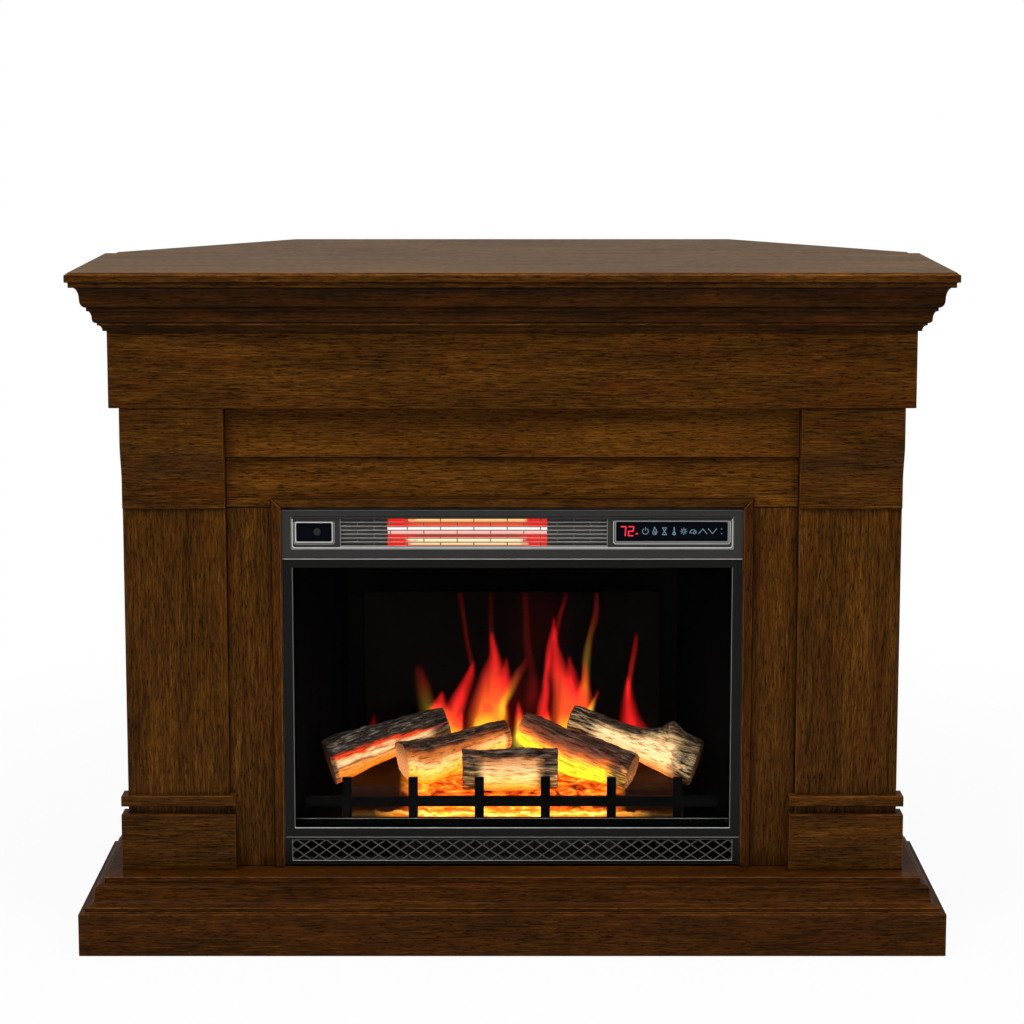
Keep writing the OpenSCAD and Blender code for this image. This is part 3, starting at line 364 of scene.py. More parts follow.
def fibreboard(name, dark, pale, chip_mm):
    """Pressed board, matt: short pale and dark chips of the given size."""
    finish, add = new_finish(name)
    spot = add("TexCoord").outputs["Object"]
    chips = add("TexNoise", {"Vector": spot, "Scale": 1000 / chip_mm, "Detail": 4,
                             "Roughness": 0.7})
    tone = add("TexNoise", {"Vector": spot, "Scale": 5, "Detail": 2})
    both = add("Mix FLOAT", {0: 0.35, 2: chips, 3: tone})
    colour = add("ValToRGB", {"Fac": both}, ((0.35, dark), (0.65, pale)))
    relief = add("Bump", {"Strength": 0.25, "Distance": 0.0004, "Height": chips})
    add("OutputMaterial", {"Surface": add("BsdfPrincipled", {
        "Base Color": colour, "Roughness": 0.82, "Normal": relief})})
    return finish


stained_board = fibreboard("stained_fibreboard", "#3a2312", "#5a3a20", 2.2)
raw_board = fibreboard("raw_fibreboard", "#7a5c3e", "#9c7a55", 1.6)
hardboard = fibreboard("hardboard", "#5a3f28", "#735236", 1.0)

veneered("side_panel_left", "z", 13, 0.5)
veneered("side_panel_right", "z", 14, 0.5)
for node, finish, slot in (
    ("jambs", raw_board, "carcase_board"), ("insert_shelf", raw_board, "carcase_board"),
    ("corner_battens", raw_board, "carcase_board"), ("base_rail", stained_board, "carcase_board"),
    ("back_panel", hardboard, "hardboard"),
):
    plainly_finished(node, "sawn", finish, 0.5)

# ---- Front frames of the insert ----
# Steel pressings in satin black powder coat, with grey painted on their eased edges as a painted
# highlight: the top bezel, the frame round the glass, and the frame of the lower grille with its
# expanded mesh.


def coated_steel(name, code, roughness, gloss=0.35):
    """Powder coat, paint or a moulded skin: fine orange peel, 0.3 mm wide and drawn at 0.9 mm."""
    finish, add = new_finish(name)
    spot = add("TexCoord").outputs["Object"]
    skin = add("TexNoise", {"Vector": spot, "Scale": 1000 / 0.9, "Detail": 2})
    wear = add("TexNoise", {"Vector": spot, "Scale": 14, "Detail": 4})
    dull = add("MapRange", {0: wear, 1: 0.3, 2: 0.7, 3: roughness - 0.06, 4: roughness + 0.08})
    relief = add("Bump", {"Strength": 0.12, "Distance": 0.0003, "Height": skin})
    add("OutputMaterial", {"Surface": add("BsdfPrincipled", {
        "Base Color": paint(code), "Roughness": dull, "Normal": relief,
        "Specular IOR Level": gloss})})
    return finish


def bare_metal(name, code, roughness):
    """Bare metal with fine lines along it, as brushing or drawing leaves them."""
    finish, add = new_finish(name)
    sized = add("VectorMath MULTIPLY", {0: add("TexCoord").outputs["Object"], 1: (30, 900, 900)})
    brush = add("TexNoise", {"Vector": sized, "Scale": 1.0, "Detail": 3})
    dull = add("MapRange", {0: brush, 1: 0.3, 2: 0.7, 3: roughness - 0.08, 4: roughness + 0.08})
    add("OutputMaterial", {"Surface": add("BsdfPrincipled", {
        "Base Color": paint(code), "Roughness": dull, "Metallic": 1.0})})
    return finish


black_coat = coated_steel("satin_black_powder_coat", "#282725", 0.42)
# The glass frame and the grille's frame take a darker, duller copy of the same coat, painted
# shade.
shaded_frame_coat = coated_steel("satin_black_coat_painted_shade", "#131211", 0.42, 0.12)
# Two greys painted on eased edges and beads as painted highlights.
grey_highlight = coated_steel("grey_edge_painted_highlight", "#868784", 0.35)
pale_highlight = coated_steel("pale_grey_painted_highlight", "#c2c2be", 0.35)
mesh_grey = coated_steel("grey_expanded_mesh", "#4a4741", 0.4)

# Eased edges that don't face the floor get the grey painted highlight, the glass frame's upward
# ones the paler one.
for node, coat in (("top_bezel", black_coat), ("glass_frame", shaded_frame_coat)):
    bm = merged(node)
    for face in ease(bm, 0.7):
        if face.normal.z > -0.3:
            face.material_index = 2 if face.normal.z > 0.3 and node == "glass_frame" else 1
    keep(node + "_coated", bm, [coat, grey_highlight, pale_highlight], node=node)

# The mesh lies inside the grille's rim, a little behind its face. Only the rim's eased edges get
# the grey painted highlight.
RIM_SIDE, RIM_BELOW, RIM_ABOVE, MESH_BACK = 0.0105, 0.004, 0.003, 0.0004
bm = merged("lower_grille")
low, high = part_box("lower_grille")
for face in bm.faces:
    if all(low.x + RIM_SIDE < v.co.x < high.x - RIM_SIDE and v.co.y > low.y + MESH_BACK
           and low.z + RIM_BELOW < v.co.z < high.z - RIM_ABOVE for v in face.verts):
        face.material_index = 2
rim = [e for e in sharp_edges(bm) if all(face.material_index == 0 for face in e.link_faces)]
for face in ease(bm, 0.7, rim):
    face.material_index = 1
keep("lower_grille_coated", bm, [shaded_frame_coat, grey_highlight, mesh_grey],
     node="lower_grille")

# ---- Control strip ----
# Raised beads round the strip and its two windows, the slotted heater grille, the sensor's
# window, and the display's window with its lit number and symbols.

HALF_DEPTH = 295.5          # from the front plane, where set-backs start, to the object's middle
STRIP_FLOOR = 80.0          # set-back of the strip's sunk floor
TO_FRONT = Matrix.Rotation(math.radians(90), 3, "X")        # from facing up


def place(x, back, z):
    """A point from millimetres: across, set-back from the front plane, and height."""
    return Vector((x, back - HALF_DEPTH, z)) / 1000


def rounded_ring(name, x, z, width, height, corner, line, rise, finish, dark_top=False):
    """A raised bead on the strip's floor along a rounded rectangle, in millimetres.

    The finish is a painted highlight. The upper side of a recess faces the floor, so dark_top
    keeps it the colour of the coat."""
    bm = bmesh.new()
    bmesh.ops.create_grid(bm, x_segments=1, y_segments=1, size=0.5)
    bmesh.ops.scale(bm, vec=(width / 1000, height / 1000, 1), verts=bm.verts)
    bmesh.ops.bevel(bm, geom=list(bm.verts), offset=corner / 1000, segments=6, profile=0.5,
                    affect="VERTICES", offset_type="OFFSET", material=-1)
    middle = list(bm.faces)
    bmesh.ops.inset_region(bm, faces=middle, thickness=line / 1000, use_even_offset=True,
                           use_boundary=True)
    bmesh.ops.delete(bm, geom=middle, context="FACES")
    raised = bmesh.ops.extrude_face_region(bm, geom=list(bm.faces))["geom"]
    bmesh.ops.translate(bm, vec=(0, 0, rise / 1000),
                        verts=[v for v in raised if isinstance(v, bmesh.types.BMVert)])
    bmesh.ops.recalc_face_normals(bm, faces=bm.faces)
    square = [e for e in bm.edges if e.calc_face_angle(0) > 1.2]
    bmesh.ops.bevel(bm, geom=square, offset=line / 4000, segments=2, profile=0.5,
                    affect="EDGES", offset_type="OFFSET", material=-1)
    bmesh.ops.rotate(bm, cent=(0, 0, 0), matrix=TO_FRONT, verts=bm.verts)
    bmesh.ops.translate(bm, vec=place(x, STRIP_FLOOR, z), verts=bm.verts)
    for face in bm.faces:
        if dark_top and face.calc_center_median().z * 1000 > z + height / 2 - 2 * line:
            face.material_index = 1
    keep(name, bm, [finish, black_coat], smooth=40)


# The beads' greys are painted highlights, kept off the sides that face the floor.
rounded_ring("strip_bead", 0, 594.0, 624.6, 45.5, 4, 1.4, 2.4, pale_highlight, True)
rounded_ring("sensor_recess", -280.9, 593.8, 58.4, 34.6, 4, 1.2, 0.7, grey_highlight, True)
rounded_ring("sensor_bead", -280.9, 594.25, 53.7, 30.2, 1.2, 1.6, 1.3, pale_highlight)
rounded_ring("display_recess", 226.0, 594.9, 166.2, 36.0, 4, 1.2, 0.7, pale_highlight, True)
rounded_ring("display_bead", 226.0, 595.35, 161.5, 31.4, 1.2, 1.6, 1.3, grey_highlight)

louvre_steel = coated_steel("grey_louvre_steel", "#5f5c57", 0.4)
louvre_lip_highlight = coated_steel("louvre_lip_painted_highlight", "#b4b1aa", 0.36)
baffle_steel = coated_steel("dark_baffle_steel", "#4b4844", 0.5)
# The slats' eased edges that face up take the pale grey, a painted highlight on their lips.
bm = merged("heater_grille")
for face in ease(bm, 0.42):
    if face.normal.z > 0.2:
        face.material_index = 1
keep("heater_grille_coated", bm, [louvre_steel, louvre_lip_highlight], node="heater_grille")


def plate(bm, low, high):
    """Adds a box between two corners, each across, set-back and height in millimetres."""
    low, high = place(*low), place(*high)
    made = bmesh.ops.create_cube(bm, size=1)
    bmesh.ops.scale(bm, vec=high - low, verts=made["verts"])
    bmesh.ops.translate(bm, vec=(low + high) / 2, verts=made["verts"])
    return made["verts"]


# A bent sheet behind the slots, on both sides of the tubes, which ends their glow in a line.
SHEET, SHEET_BACK, SHEET_LOW, SHEET_HIGH = 0.8, 88.0, 571.5, 615.5
bm = bmesh.new()
for left, right, lip in ((-245.5, -178.6, -180.2), (50.0, 136.5, 51.6)):
    plate(bm, (left, SHEET_BACK, SHEET_LOW), (right, SHEET_BACK + SHEET, SHEET_HIGH))
    plate(bm, (lip, SHEET_BACK + SHEET, SHEET_LOW), (lip + SHEET, 94.5, SHEET_HIGH))
ease(bm, 0.2)
keep("heater_baffle", bm, [baffle_steel])


def dark_window(name, code, gloss):
    """Smoked acrylic, moulded and polished: near black, with sharp highlights."""
    finish, add = new_finish(name)
    haze = add("TexNoise", {"Vector": add("TexCoord").outputs["Object"], "Scale": 40, "Detail": 2})
    dull = add("MapRange", {0: haze, 1: 0.3, 2: 0.7, 3: 0.05, 4: 0.12})
    add("OutputMaterial", {"Surface": add("BsdfPrincipled", {
        "Base Color": paint(code), "Roughness": dull, "IOR": 1.3, "Specular IOR Level": gloss})})
    return finish


def glow(name, code, strength):
    """A lit sign: its own colour, even over the whole mark."""
    finish, add = new_finish(name)
    add("OutputMaterial", {"Surface": add("BsdfPrincipled", {
        "Base Color": (0.01, 0.01, 0.01, 1), "Roughness": 0.5, "Emission Color": paint(code),
        "Emission Strength": strength})})
    return finish


smoked = dark_window("smoked_acrylic", "#03060e", 0.12)
plainly_finished("sensor_window", "smoked", smoked, 0.3)
plainly_finished("display_panel", "smoked", smoked, 0.3)

red_mark = glow("red_digit", "#ff2438", 1.1)
blue_mark = glow("blue_grey_symbol", "#7f9fb0", 0.7)
SIGN_FACE = 81.95           # set-back of the marks, just proud of the window


def stroke(bm, points, width):
    """Adds a flat line of the given width through points in millimetres."""
    for start, end in zip(points, points[1:]):
        a, b = Vector(start), Vector(end)
        along = (b - a).normalized()
        side = Vector((-along.y, along.x)) * width / 2
        a, b = a - along * width / 3, b + along * width / 3
        corners = (a - side, b - side, b + side, a + side)
        bm.faces.new([bm.verts.new(place(c.x, SIGN_FACE, c.y)) for c in corners])


def arc(x, z, r, start, end, steps=12):
    """Points along an arc, in millimetres and degrees."""
    turns = [math.radians(start + (end - start) * i / steps) for i in range(steps + 1)]
    return [(x + r * math.cos(turn), z + r * math.sin(turn)) for turn in turns]


# Each digit's strokes, as corners in a cell 1 wide and 2 high. The cell leans to the right.
DIGITS = {"7": (((0, 2), (1, 2)), ((1, 2), (1, 1)), ((1, 1), (1, 0))),
          "2": (((0, 2), (1, 2)), ((1, 2), (1, 1)), ((0, 1), (1, 1)), ((0, 0), (0, 1)),
                ((0, 0), (1, 0)))}
DIGIT_WIDTH, HALF_DIGIT, DIGIT_FOOT, HALF_LEAN = 6.6, 6.5, 588.8, 0.45
bm = bmesh.new()
for digit, left in (("7", 153.4), ("2", 164.4)):
    for line in DIGITS[digit]:
        stroke(bm, [(left + DIGIT_WIDTH * i + HALF_LEAN * j, DIGIT_FOOT + HALF_DIGIT * j)
                    for i, j in line], 1.7)
stroke(bm, [(175.6, 591.6), (177.2, 591.6)], 1.9)
keep("display_number", bm, [red_mark])

# Symbols for power, flame, timer, thermometer, sun, dome, up and down, then a colon.
ROW = 595.2
power, flame, timer, thermometer = 188.6, 202.0, 215.6, 229.3
sun, dome, up, down = 242.9, 256.3, 270.0, 283.6
bm = bmesh.new()
stroke(bm, arc(power, ROW, 4.2, 125, 415), 1.0)
stroke(bm, [(power, ROW + 5.4), (power, ROW + 1)], 1.0)
stroke(bm, [(flame + x, ROW + z) for x, z in (
    (-0.6, 6), (2.2, 1.5), (3, -2), (1, -4.6), (-1.8, -4.6), (-3.2, -2), (-2, 1), (-0.6, 6))], 1.1)
stroke(bm, [(flame, ROW - 0.4), (flame + 0.6, ROW - 3)], 1.6)
stroke(bm, [(timer + x, ROW + z) for x, z in (
    (-3, 5), (3, 5), (0, 0), (3, -5), (-3, -5), (0, 0), (-3, 5))], 1.0)
stroke(bm, [(thermometer, ROW + 5.4), (thermometer, ROW - 2)], 1.6)
stroke(bm, arc(thermometer, ROW - 3.4, 1.7, 0, 360), 1.5)
stroke(bm, arc(sun, ROW, 2.2, 0, 360), 1.0)
for k in range(8):
    c, s = math.cos(math.radians(45 * k)), math.sin(math.radians(45 * k))
    stroke(bm, [(sun + r * c, ROW + r * s) for r in (3.4, 4.8)], 0.9)
stroke(bm, arc(dome, ROW - 2.4, 4.6, 0, 180), 1.0)
stroke(bm, [(dome - 4.6, ROW - 2.4), (dome - 1.2, ROW - 2.4)], 1.0)
stroke(bm, arc(dome + 1.8, ROW - 2.2, 1.6, 0, 360), 0.9)
for middle, way in ((up, 1), (down, -1)):
    stroke(bm, [(middle + x, ROW + way * z) for x, z in ((-6, -3.6), (0, 3.4), (6, -3.6))], 1.0)
for rise in (-3.4, 3.4):
    stroke(bm, arc(296.6, ROW + rise, 0.5, 0, 360, 6), 0.7)
keep("display_symbols", bm, [blue_mark])

bm = bmesh.new()
bmesh.ops.create_cone(bm, cap_ends=True, segments=32, radius1=0.0052, radius2=0.0045, depth=0.0006)
bmesh.ops.rotate(bm, cent=(0, 0, 0), matrix=TO_FRONT, verts=bm.verts)
bmesh.ops.translate(bm, vec=place(-276.7, 81.8, 594.2), verts=bm.verts)
keep("sensor_eye", bm, [coated_steel("sensor_grey", "#1d1b1b", 0.3)])

# ---- Quartz heater ----
# Two quartz tubes with glowing wire in ceramic holders, in front of a polished reflector.

TUBES_MIDDLE = -0.0643      # across, in metres
WARM_END = 0.092            # from the middle, where the glow turns red
HOT_END = 0.1135            # where it stops at the holders


def glowing_quartz(name, pale_low, pale_high, levels):
    """Heat seen on a surface: a colour for each height, red at the ends, and past them a faint
    grey glow of painted light.

    Heights are in millimetres. From pale_low to pale_high the glow doesn't redden at the ends."""
    finish, add = new_finish(name)
    spot = add("TexCoord").outputs["Object"]
    axis = add("SeparateXYZ", {0: spot}).outputs
    offset = add("Math ADD", {0: axis["X"], 1: -TUBES_MIDDLE})
    reach = add("Math ABSOLUTE", {0: offset})
    low, high = levels[0][0], levels[-1][0]
    height = add("MapRange", {0: axis["Z"], 1: low / 1000, 2: high / 1000, 3: 0.0, 4: 1.0})
    hue = add("ValToRGB", {"Fac": height}, [
        ((z - low) / (high - low), code) for z, code in levels])
    pale = add("ValToRGB", {"Fac": height}, [
        ((z - low) / (high - low), "#ffffff" if pale_low <= z <= pale_high else "#000000")
        for z, _ in levels])
    sized = add("VectorMath MULTIPLY", {0: spot, 1: (60, 200, 200)})
    coil = add("TexNoise", {"Vector": sized, "Scale": 1.0, "Detail": 2})
    uneven = add("Math MULTIPLY_ADD", {0: coil, 1: 0.03, 2: reach})
    edge = add("MapRange", {0: uneven, 1: WARM_END, 2: WARM_END + 0.01, 3: 0.0, 4: 1.0})
    redder = add("Math SUBTRACT", {0: edge, 1: pale}, use_clamp=True)
    colour = add("Mix RGBA", {0: redder, 6: hue, 7: paint("#f31c10")})
    # Past the hot ends the surface gives off a faint grey, painted light for the room's light on
    # it.
    lit = add("MapRange", {0: reach, 1: HOT_END, 2: HOT_END + 0.001, 3: 1.0, 4: 0.0})
    light = add("Mix RGBA", {0: lit, 6: paint("#2c2724"), 7: colour})
    add("OutputMaterial", {"Surface": add("BsdfPrincipled", {
        "Base Color": paint("#2a2422"), "Roughness": 0.45, "Emission Color": light,
        "Emission Strength": 1.0})})
    return finish


hot_quartz = glowing_quartz("glowing_quartz", 587.0, 595.0, (
    (571.0, "#ffdc9c"), (575.5, "#ffe4b0"), (578.5, "#fff4cc"), (580.8, "#e02c10"),
    (582.5, "#b40402"), (587.0, "#ff9c8c"), (589.5, "#ffc4b8"), (592.0, "#fff0ec"),
    (595.0, "#ffffff"), (597.0, "#ff5a30"), (600.0, "#f04018")))
warm_reflector = glowing_quartz("reflected_quartz_glow", 583.5, 588.0, (
    (566.0, "#c02010"), (574.0, "#b01409"), (579.0, "#b40402"), (581.5, "#b80804"),
    (583.5, "#ffac9c"), (588.0, "#ffc8bc"), (598.5, "#ff4626"), (604.0, "#ffd488"),
    (609.0, "#ffa050")))
ceramic = coated_steel("grey_ceramic", "#3d3934", 0.6)
mirror_strip = bare_metal("polished_aluminium", "#d5d7d8", 0.16)

HOLDER = 0.0102             # length of each ceramic holder
bm = merged("quartz_heater")
low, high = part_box("quartz_heater")
for face in bm.faces:
    if not low.x + HOLDER < face.calc_center_median().x < high.x - HOLDER:
        face.material_index = 1
keep("quartz_heater_lit", bm, [hot_quartz, ceramic], node="quartz_heater", smooth=50)

# The reflector is lit on its face, and plain metal on its back and its rims.
bm = merged("heat_reflector")
low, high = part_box("heat_reflector")
for face in bm.faces:
    off_middle = abs(face.calc_center_median().z - (low.z + high.z) / 2)
    if face.normal.y > 0.3 or off_middle > (high.z - low.z) / 2 - 0.0006:
        face.material_index = 1
keep("heat_reflector_lit", bm, [warm_reflector, mirror_strip],
     node="heat_reflector")

# ---- Glass, firebox and flame screen ----
# A clear tempered pane behind the frame's lip, a steel liner painted black with a raised pan,
# a cast grate, and a dark screen on which the spindle throws the flames.

# Clear glass. Its IOR is low, so that the pane doesn't mirror the room over the fire.
glass, add = new_finish("clear_tempered_glass")
add("OutputMaterial", {"Surface": add("BsdfPrincipled", {
    "Base Color": paint("#fbfcfb"), "Roughness": 0.0, "IOR": 1.04, "Transmission Weight": 1.0})})
matt_black = coated_steel("matt_black_stove_paint", "#050505", 0.6, 0.06)
liner_paint = coated_steel("black_liner_paint", "#020202", 0.6, 0.05)
liner_back = coated_steel("brown_black_liner_back", "#0d0907", 0.6, 0.05)
screen_black = dark_window("dark_screen", "#0d0907", 0.02)

# The lower front edge of the liner is painted bright grey as a painted highlight, and its back
# wall is a browner black.
bm = merged("firebox_liner")
low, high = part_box("firebox_liner")
for face in ease(bm, 0.35):
    centre = face.calc_center_median()
    if centre.y < low.y + 0.001 and centre.z < 0.18:
        face.material_index = 1
for face in bm.faces:
    if face.normal.y < -0.9 and face.calc_center_median().y > high.y - 0.003:
        face.material_index = 2
keep("firebox_liner_painted", bm, [liner_paint, pale_highlight, liner_back],
     node="firebox_liner")
plainly_finished("front_glass", "clear", glass, 0.4)
plainly_finished("grate", "painted", matt_black, 0.8)
plainly_finished("flame_screen", "dark", screen_black, 0.8)

# ---- Flames ----
# The light that the spindle's blades throw on the screen: a fine sheet on its face whose own
# attributes say how hot and how bright each spot is.

# Each tongue: points (x, z, half width) from its root up in millimetres, heat and brightness.
TONGUES = (
    (((-124, 285, 17), (-128, 315, 15), (-133, 342, 10), (-137, 362, 5)), 0.85, 0.24),
    (((-112, 262, 15), (-112, 288, 13), (-110, 304, 5)), 1.0, 0.7),
    (((-112, 262, 28), (-112, 290, 25), (-108, 305, 14), (-104, 322, 3)), 0.8, 1.0),
    (((-96, 258, 16), (-86, 295, 15), (-74, 325, 14), (-62, 352, 8), (-56, 368, 2)), 0.28, 1.0),
    (((-90, 242, 12), (-84, 268, 10), (-76, 290, 3)), 1.0, 1.0),
    (((-37, 246, 34), (-36, 290, 29), (-32, 330, 21), (-28, 362, 15), (-28, 382, 8),
      (-30, 412, 2)), 0.58, 1.0),
    (((-18, 300, 13), (-13, 340, 12), (-11, 358, 8), (-10, 374, 2)), 0.35, 0.75),
    (((-42, 262, 17), (-40, 285, 15), (-36, 304, 6)), 1.0, 0.9),
    (((-14, 304, 7), (-6, 322, 9), (2, 342, 9), (11, 358, 7), (20, 374, 3)), 1.0, 0.36),
    (((10, 258, 10), (10, 285, 8), (10, 306, 2)), 0.8, 1.0),
    (((43, 262, 8), (45, 312, 7), (49, 345, 6), (54, 368, 5), (62, 434, 2)), 0.15, 0.85),
    (((80, 258, 26), (80, 300, 24), (74, 335, 18), (67, 368, 13), (64, 395, 6), (63, 420, 2)),
     0.42, 1.0),
    (((92, 258, 24), (92, 310, 20), (88, 345, 10), (85, 375, 2)), 0.32, 0.9),
    (((104, 258, 18), (106, 310, 14), (107, 342, 7), (108, 368, 2)), 0.55, 0.75),
    (((107, 335, 7), (110, 374, 7), (117, 415, 5), (123, 452, 4), (126, 478, 2)), 0.85, 0.3),
    (((82, 262, 15), (82, 286, 13), (80, 302, 5)), 0.95, 0.7),
    (((107, 268, 11), (114, 298, 6), (120, 313, 3.5), (127, 325, 1.5)), 1.6, 0.7),
    (((51, 268, 7), (51, 284, 6), (51, 296, 2)), 0.95, 0.85),
    (((186, 236, 26), (179, 262, 22), (174, 292, 14), (173, 325, 9), (172, 344, 4)), 0.08, 1.0),
    (((173, 332, 5), (177, 374, 4), (182, 410, 3)), 0.08, 0.5),
    (((-57, 362, 4), (-67, 411, 3.4), (-73, 450, 3), (-80, 480, 2.4)), 0.1, 0.24),
    (((-30, 400, 3), (-30, 440, 4), (-31, 480, 4)), 0.1, 0.12),
    (((28, 318, 10), (27, 378, 8), (23, 430, 5), (22, 480, 4)), 0.12, 0.16),
    (((64, 410, 4), (69, 432, 3.6), (76, 456, 3.2), (80, 480, 2.6)), 0.1, 0.25),
    (((40, 395, 50), (40, 440, 60), (35, 480, 40)), 0.05, 0.05),
    (((-207, 258, 12), (-206, 288, 3)), 0.05, 0.32),
    (((-20, 250, 125), (-10, 300, 95), (0, 345, 55)), 0.15, 0.14),
)
BELOW_ROOT, ABOVE_TIP = 30, 8       # how far a tongue fades out past its ends


def flame_at(x, z):
    """Heat and brightness of the thrown light at a spot of the screen, in millimetres.

    A slow sway of 5 mm and a quick one of 2 mm bend the tongues."""
    sway = (5.0 * noise.noise(Vector((x / 40, z / 60, 3.1)))
            + 2.2 * noise.noise(Vector((x / 14, z / 38, 7.7))))
    heat = bright = 0.0
    for line, warmth, power in TONGUES:
        root, tip = line[0][1], line[-1][1]
        if not root - BELOW_ROOT < z < tip + ABOVE_TIP:
            continue
        for (x0, z0, w0), (x1, z1, w1) in zip(line, line[1:]):
            if z0 <= z < z1 or (z < z0 and z0 == root) or (z >= z1 and z1 == tip):
                t = min(max((z - z0) / (z1 - z0), 0), 1)
                width = w0 + (w1 - w0) * t
                off = abs(x + sway - (x0 + (x1 - x0) * t)) / (1.15 * width + 1)
                edge = max(0.0, 1 - off * off) ** 1.4
                rise = (z - root) / (tip - root)
                fade = 1 - max(0.0, rise - 0.55) ** 1.5
                if z < root:
                    edge *= max(0.0, 1 + (z - root) / BELOW_ROOT)
                if z > z1:
                    edge *= max(0.0, 1 - (z - z1) / ABOVE_TIP)
                streak = 0.86 + 0.22 * noise.noise(Vector((x / 9, z / 50, 1.3)))
                glare = power * edge * fade * streak
                heat += glare * (warmth * (1.15 - rise) + 0.25 * (1 - rise) * edge)
                bright += glare
                break
    return (heat / bright if bright > 0.001 else 0.0), min(bright, 1.15)


FLAME_RIM = 0.006           # how much narrower and lower than the screen the light is
bm = bmesh.new()
bmesh.ops.create_grid(bm, x_segments=190, y_segments=134, size=0.5)
hue_layer = bm.verts.layers.float.new("flame_hue")
level_layer = bm.verts.layers.float.new("flame_level")
low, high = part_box("flame_screen")
for v in bm.verts:
    x = v.co.x * (high.x - low.x - FLAME_RIM) * 1000
    z = (low.z + high.z) / 2 * 1000 + v.co.y * (high.z - low.z - FLAME_RIM) * 1000
    v[hue_layer], v[level_layer] = flame_at(x, z)
    v.co = Vector((x / 1000, low.y - 0.0003, z / 1000))
bm.normal_update()
bmesh.ops.reverse_faces(bm, faces=[f for f in bm.faces if f.normal.y > 0])

# Light on the dark screen, from deep red over orange to yellow at the roots.
flame_light, add = new_finish("projected_flame")
heat = add("Attribute", attribute_name="flame_hue").outputs["Fac"]
bright = add("Attribute", attribute_name="flame_level").outputs["Fac"]
colour = add("ValToRGB", {"Fac": heat}, (
    (0.0, "#c80c10"), (0.3, "#f42622"), (0.5, "#fa5420"), (0.7, "#fba024"), (1.0, "#ffe04a")))
gain = add("Math POWER", {0: bright, 1: 1.6})
light = add("Mix RGBA", {0: 1.0, 6: colour, 7: gain}, blend_type="MULTIPLY")
add("OutputMaterial", {"Surface": add("BsdfPrincipled", {
    "Base Color": paint("#0d0907"), "Roughness": 0.5, "Specular IOR Level": 0.02,
    "Emission Color": light, "Emission Strength": 1.2})})
keep("projected_flames", bm, [flame_light])

# ---- Logs ----
# Five logs cast in resin and painted by hand: charred bark on top, split faces below, sawn ends.
# The resin lets the light of the ember bed through, so the bellies glow; the same glow also stands
# in for the lamp light on the logs, as painted light.

CASE_FRONT = 92             # set-back of the case, from where the logs' set-backs count
PAN_TOP = 172               # height of the pan that carries the logs
# Stations along each log, as (x, set-back from the case, height over the pan, radius).
LOGS = {
    "log_1": ((-268, 56, 66, 34), (-190, 80, 92, 28), (-97, 98, 117, 21.5)),
    "log_2": ((-160, 31, 78, 27), (-128, 43, 71, 33), (-70, 69, 85, 26), (-8, 93, 99, 21)),
    "log_3": ((-72, 23.4, 66, 29), (-10, 23.4, 65, 31), (66, 23.4, 66, 29)),
    "log_4": ((14, 92, 110, 21), (80, 70, 79, 32), (130, 48, 68, 28.5), (174, 30, 60, 26)),
    "log_5": ((86, 101, 122, 18), (150, 94, 100, 23), (215, 80, 82, 31), (269, 56, 64, 33)),
}
# Colours from the underside to the top, and stretches of char as (start, end, how deep) along the
# log. lit is how far up the glow goes, which is partly painted light; ridge is the palest bark,
# partly its own colour and partly a painted highlight on the raised grain; barked how fully bark
# covers the top, and lean how much the bands climb along the log.
LOG_LOOKS = {
    "log_1": dict(
        skin=((0.0, "#e86a10"), (0.2, "#f08a24"), (0.38, "#e8984a"), (0.44, "#8a4c28"),
              (0.52, "#f4cc96"), (0.62, "#eab078"), (0.67, "#f04a1c"), (0.73, "#d83c16"),
              (0.77, "#4a3026"), (0.86, "#262120"), (1.0, "#35302d")),
        char=((0.0, 0.05, 0.7), (0.8, 1.0, 0.85)), glow=0.9, lit=0.88, sawn="#5a3218",
        ridge="#9a948e", barked=0.95, lean=0.14),
    "log_2": dict(
        skin=((0.0, "#ff8a18"), (0.2, "#ffb02c"), (0.4, "#ffc860"), (0.58, "#f8bc78"),
              (0.7, "#e88c44"), (0.82, "#c8642c"), (0.9, "#7a3c24"), (0.95, "#2c1f1a"),
              (1.0, "#3a2a24")),
        char=((0.93, 1.0, 0.6),), glow=0.95, lit=0.88, sawn="#d89058", ridge="#b08a68",
        barked=0.75),
    "log_3": dict(
        skin=((0.0, "#ff8418"), (0.15, "#ffb43c"), (0.35, "#ffc878"), (0.6, "#f8c48c"),
              (0.78, "#eca468"), (0.87, "#a85a30"), (0.92, "#2a1e1b"), (1.0, "#221c1a")),
        char=((0.0, 0.24, 1.0), (0.76, 1.0, 1.0)), glow=0.85, lit=0.88, sawn="#7a3624",
        ridge="#94867c", barked=0.95),
    "log_4": dict(
        skin=((0.0, "#ff8c10"), (0.15, "#ffca24"), (0.44, "#ffbe28"), (0.57, "#fba038"),
              (0.66, "#d06c34"), (0.76, "#8c4c30"), (0.88, "#704030"), (1.0, "#5c3628")),
        char=((0.8, 1.0, 0.95),), glow=1.7, lit=0.95, sawn="#d08850", ridge="#b08878",
        barked=0.5),
    "log_5": dict(
        skin=((0.0, "#f0883a"), (0.2, "#f8b068"), (0.4, "#f8cc90"), (0.72, "#f4d4a0"),
              (0.86, "#e0bc84"), (0.93, "#6a4e38"), (0.97, "#30241c"), (1.0, "#403028")),
        char=((0.0, 0.27, 1.0), (0.8, 1.0, 0.9)), glow=1.05, lit=1.2, sawn="#6a4c2c",
        ridge="#d8bc8c", barked=0.35),
}


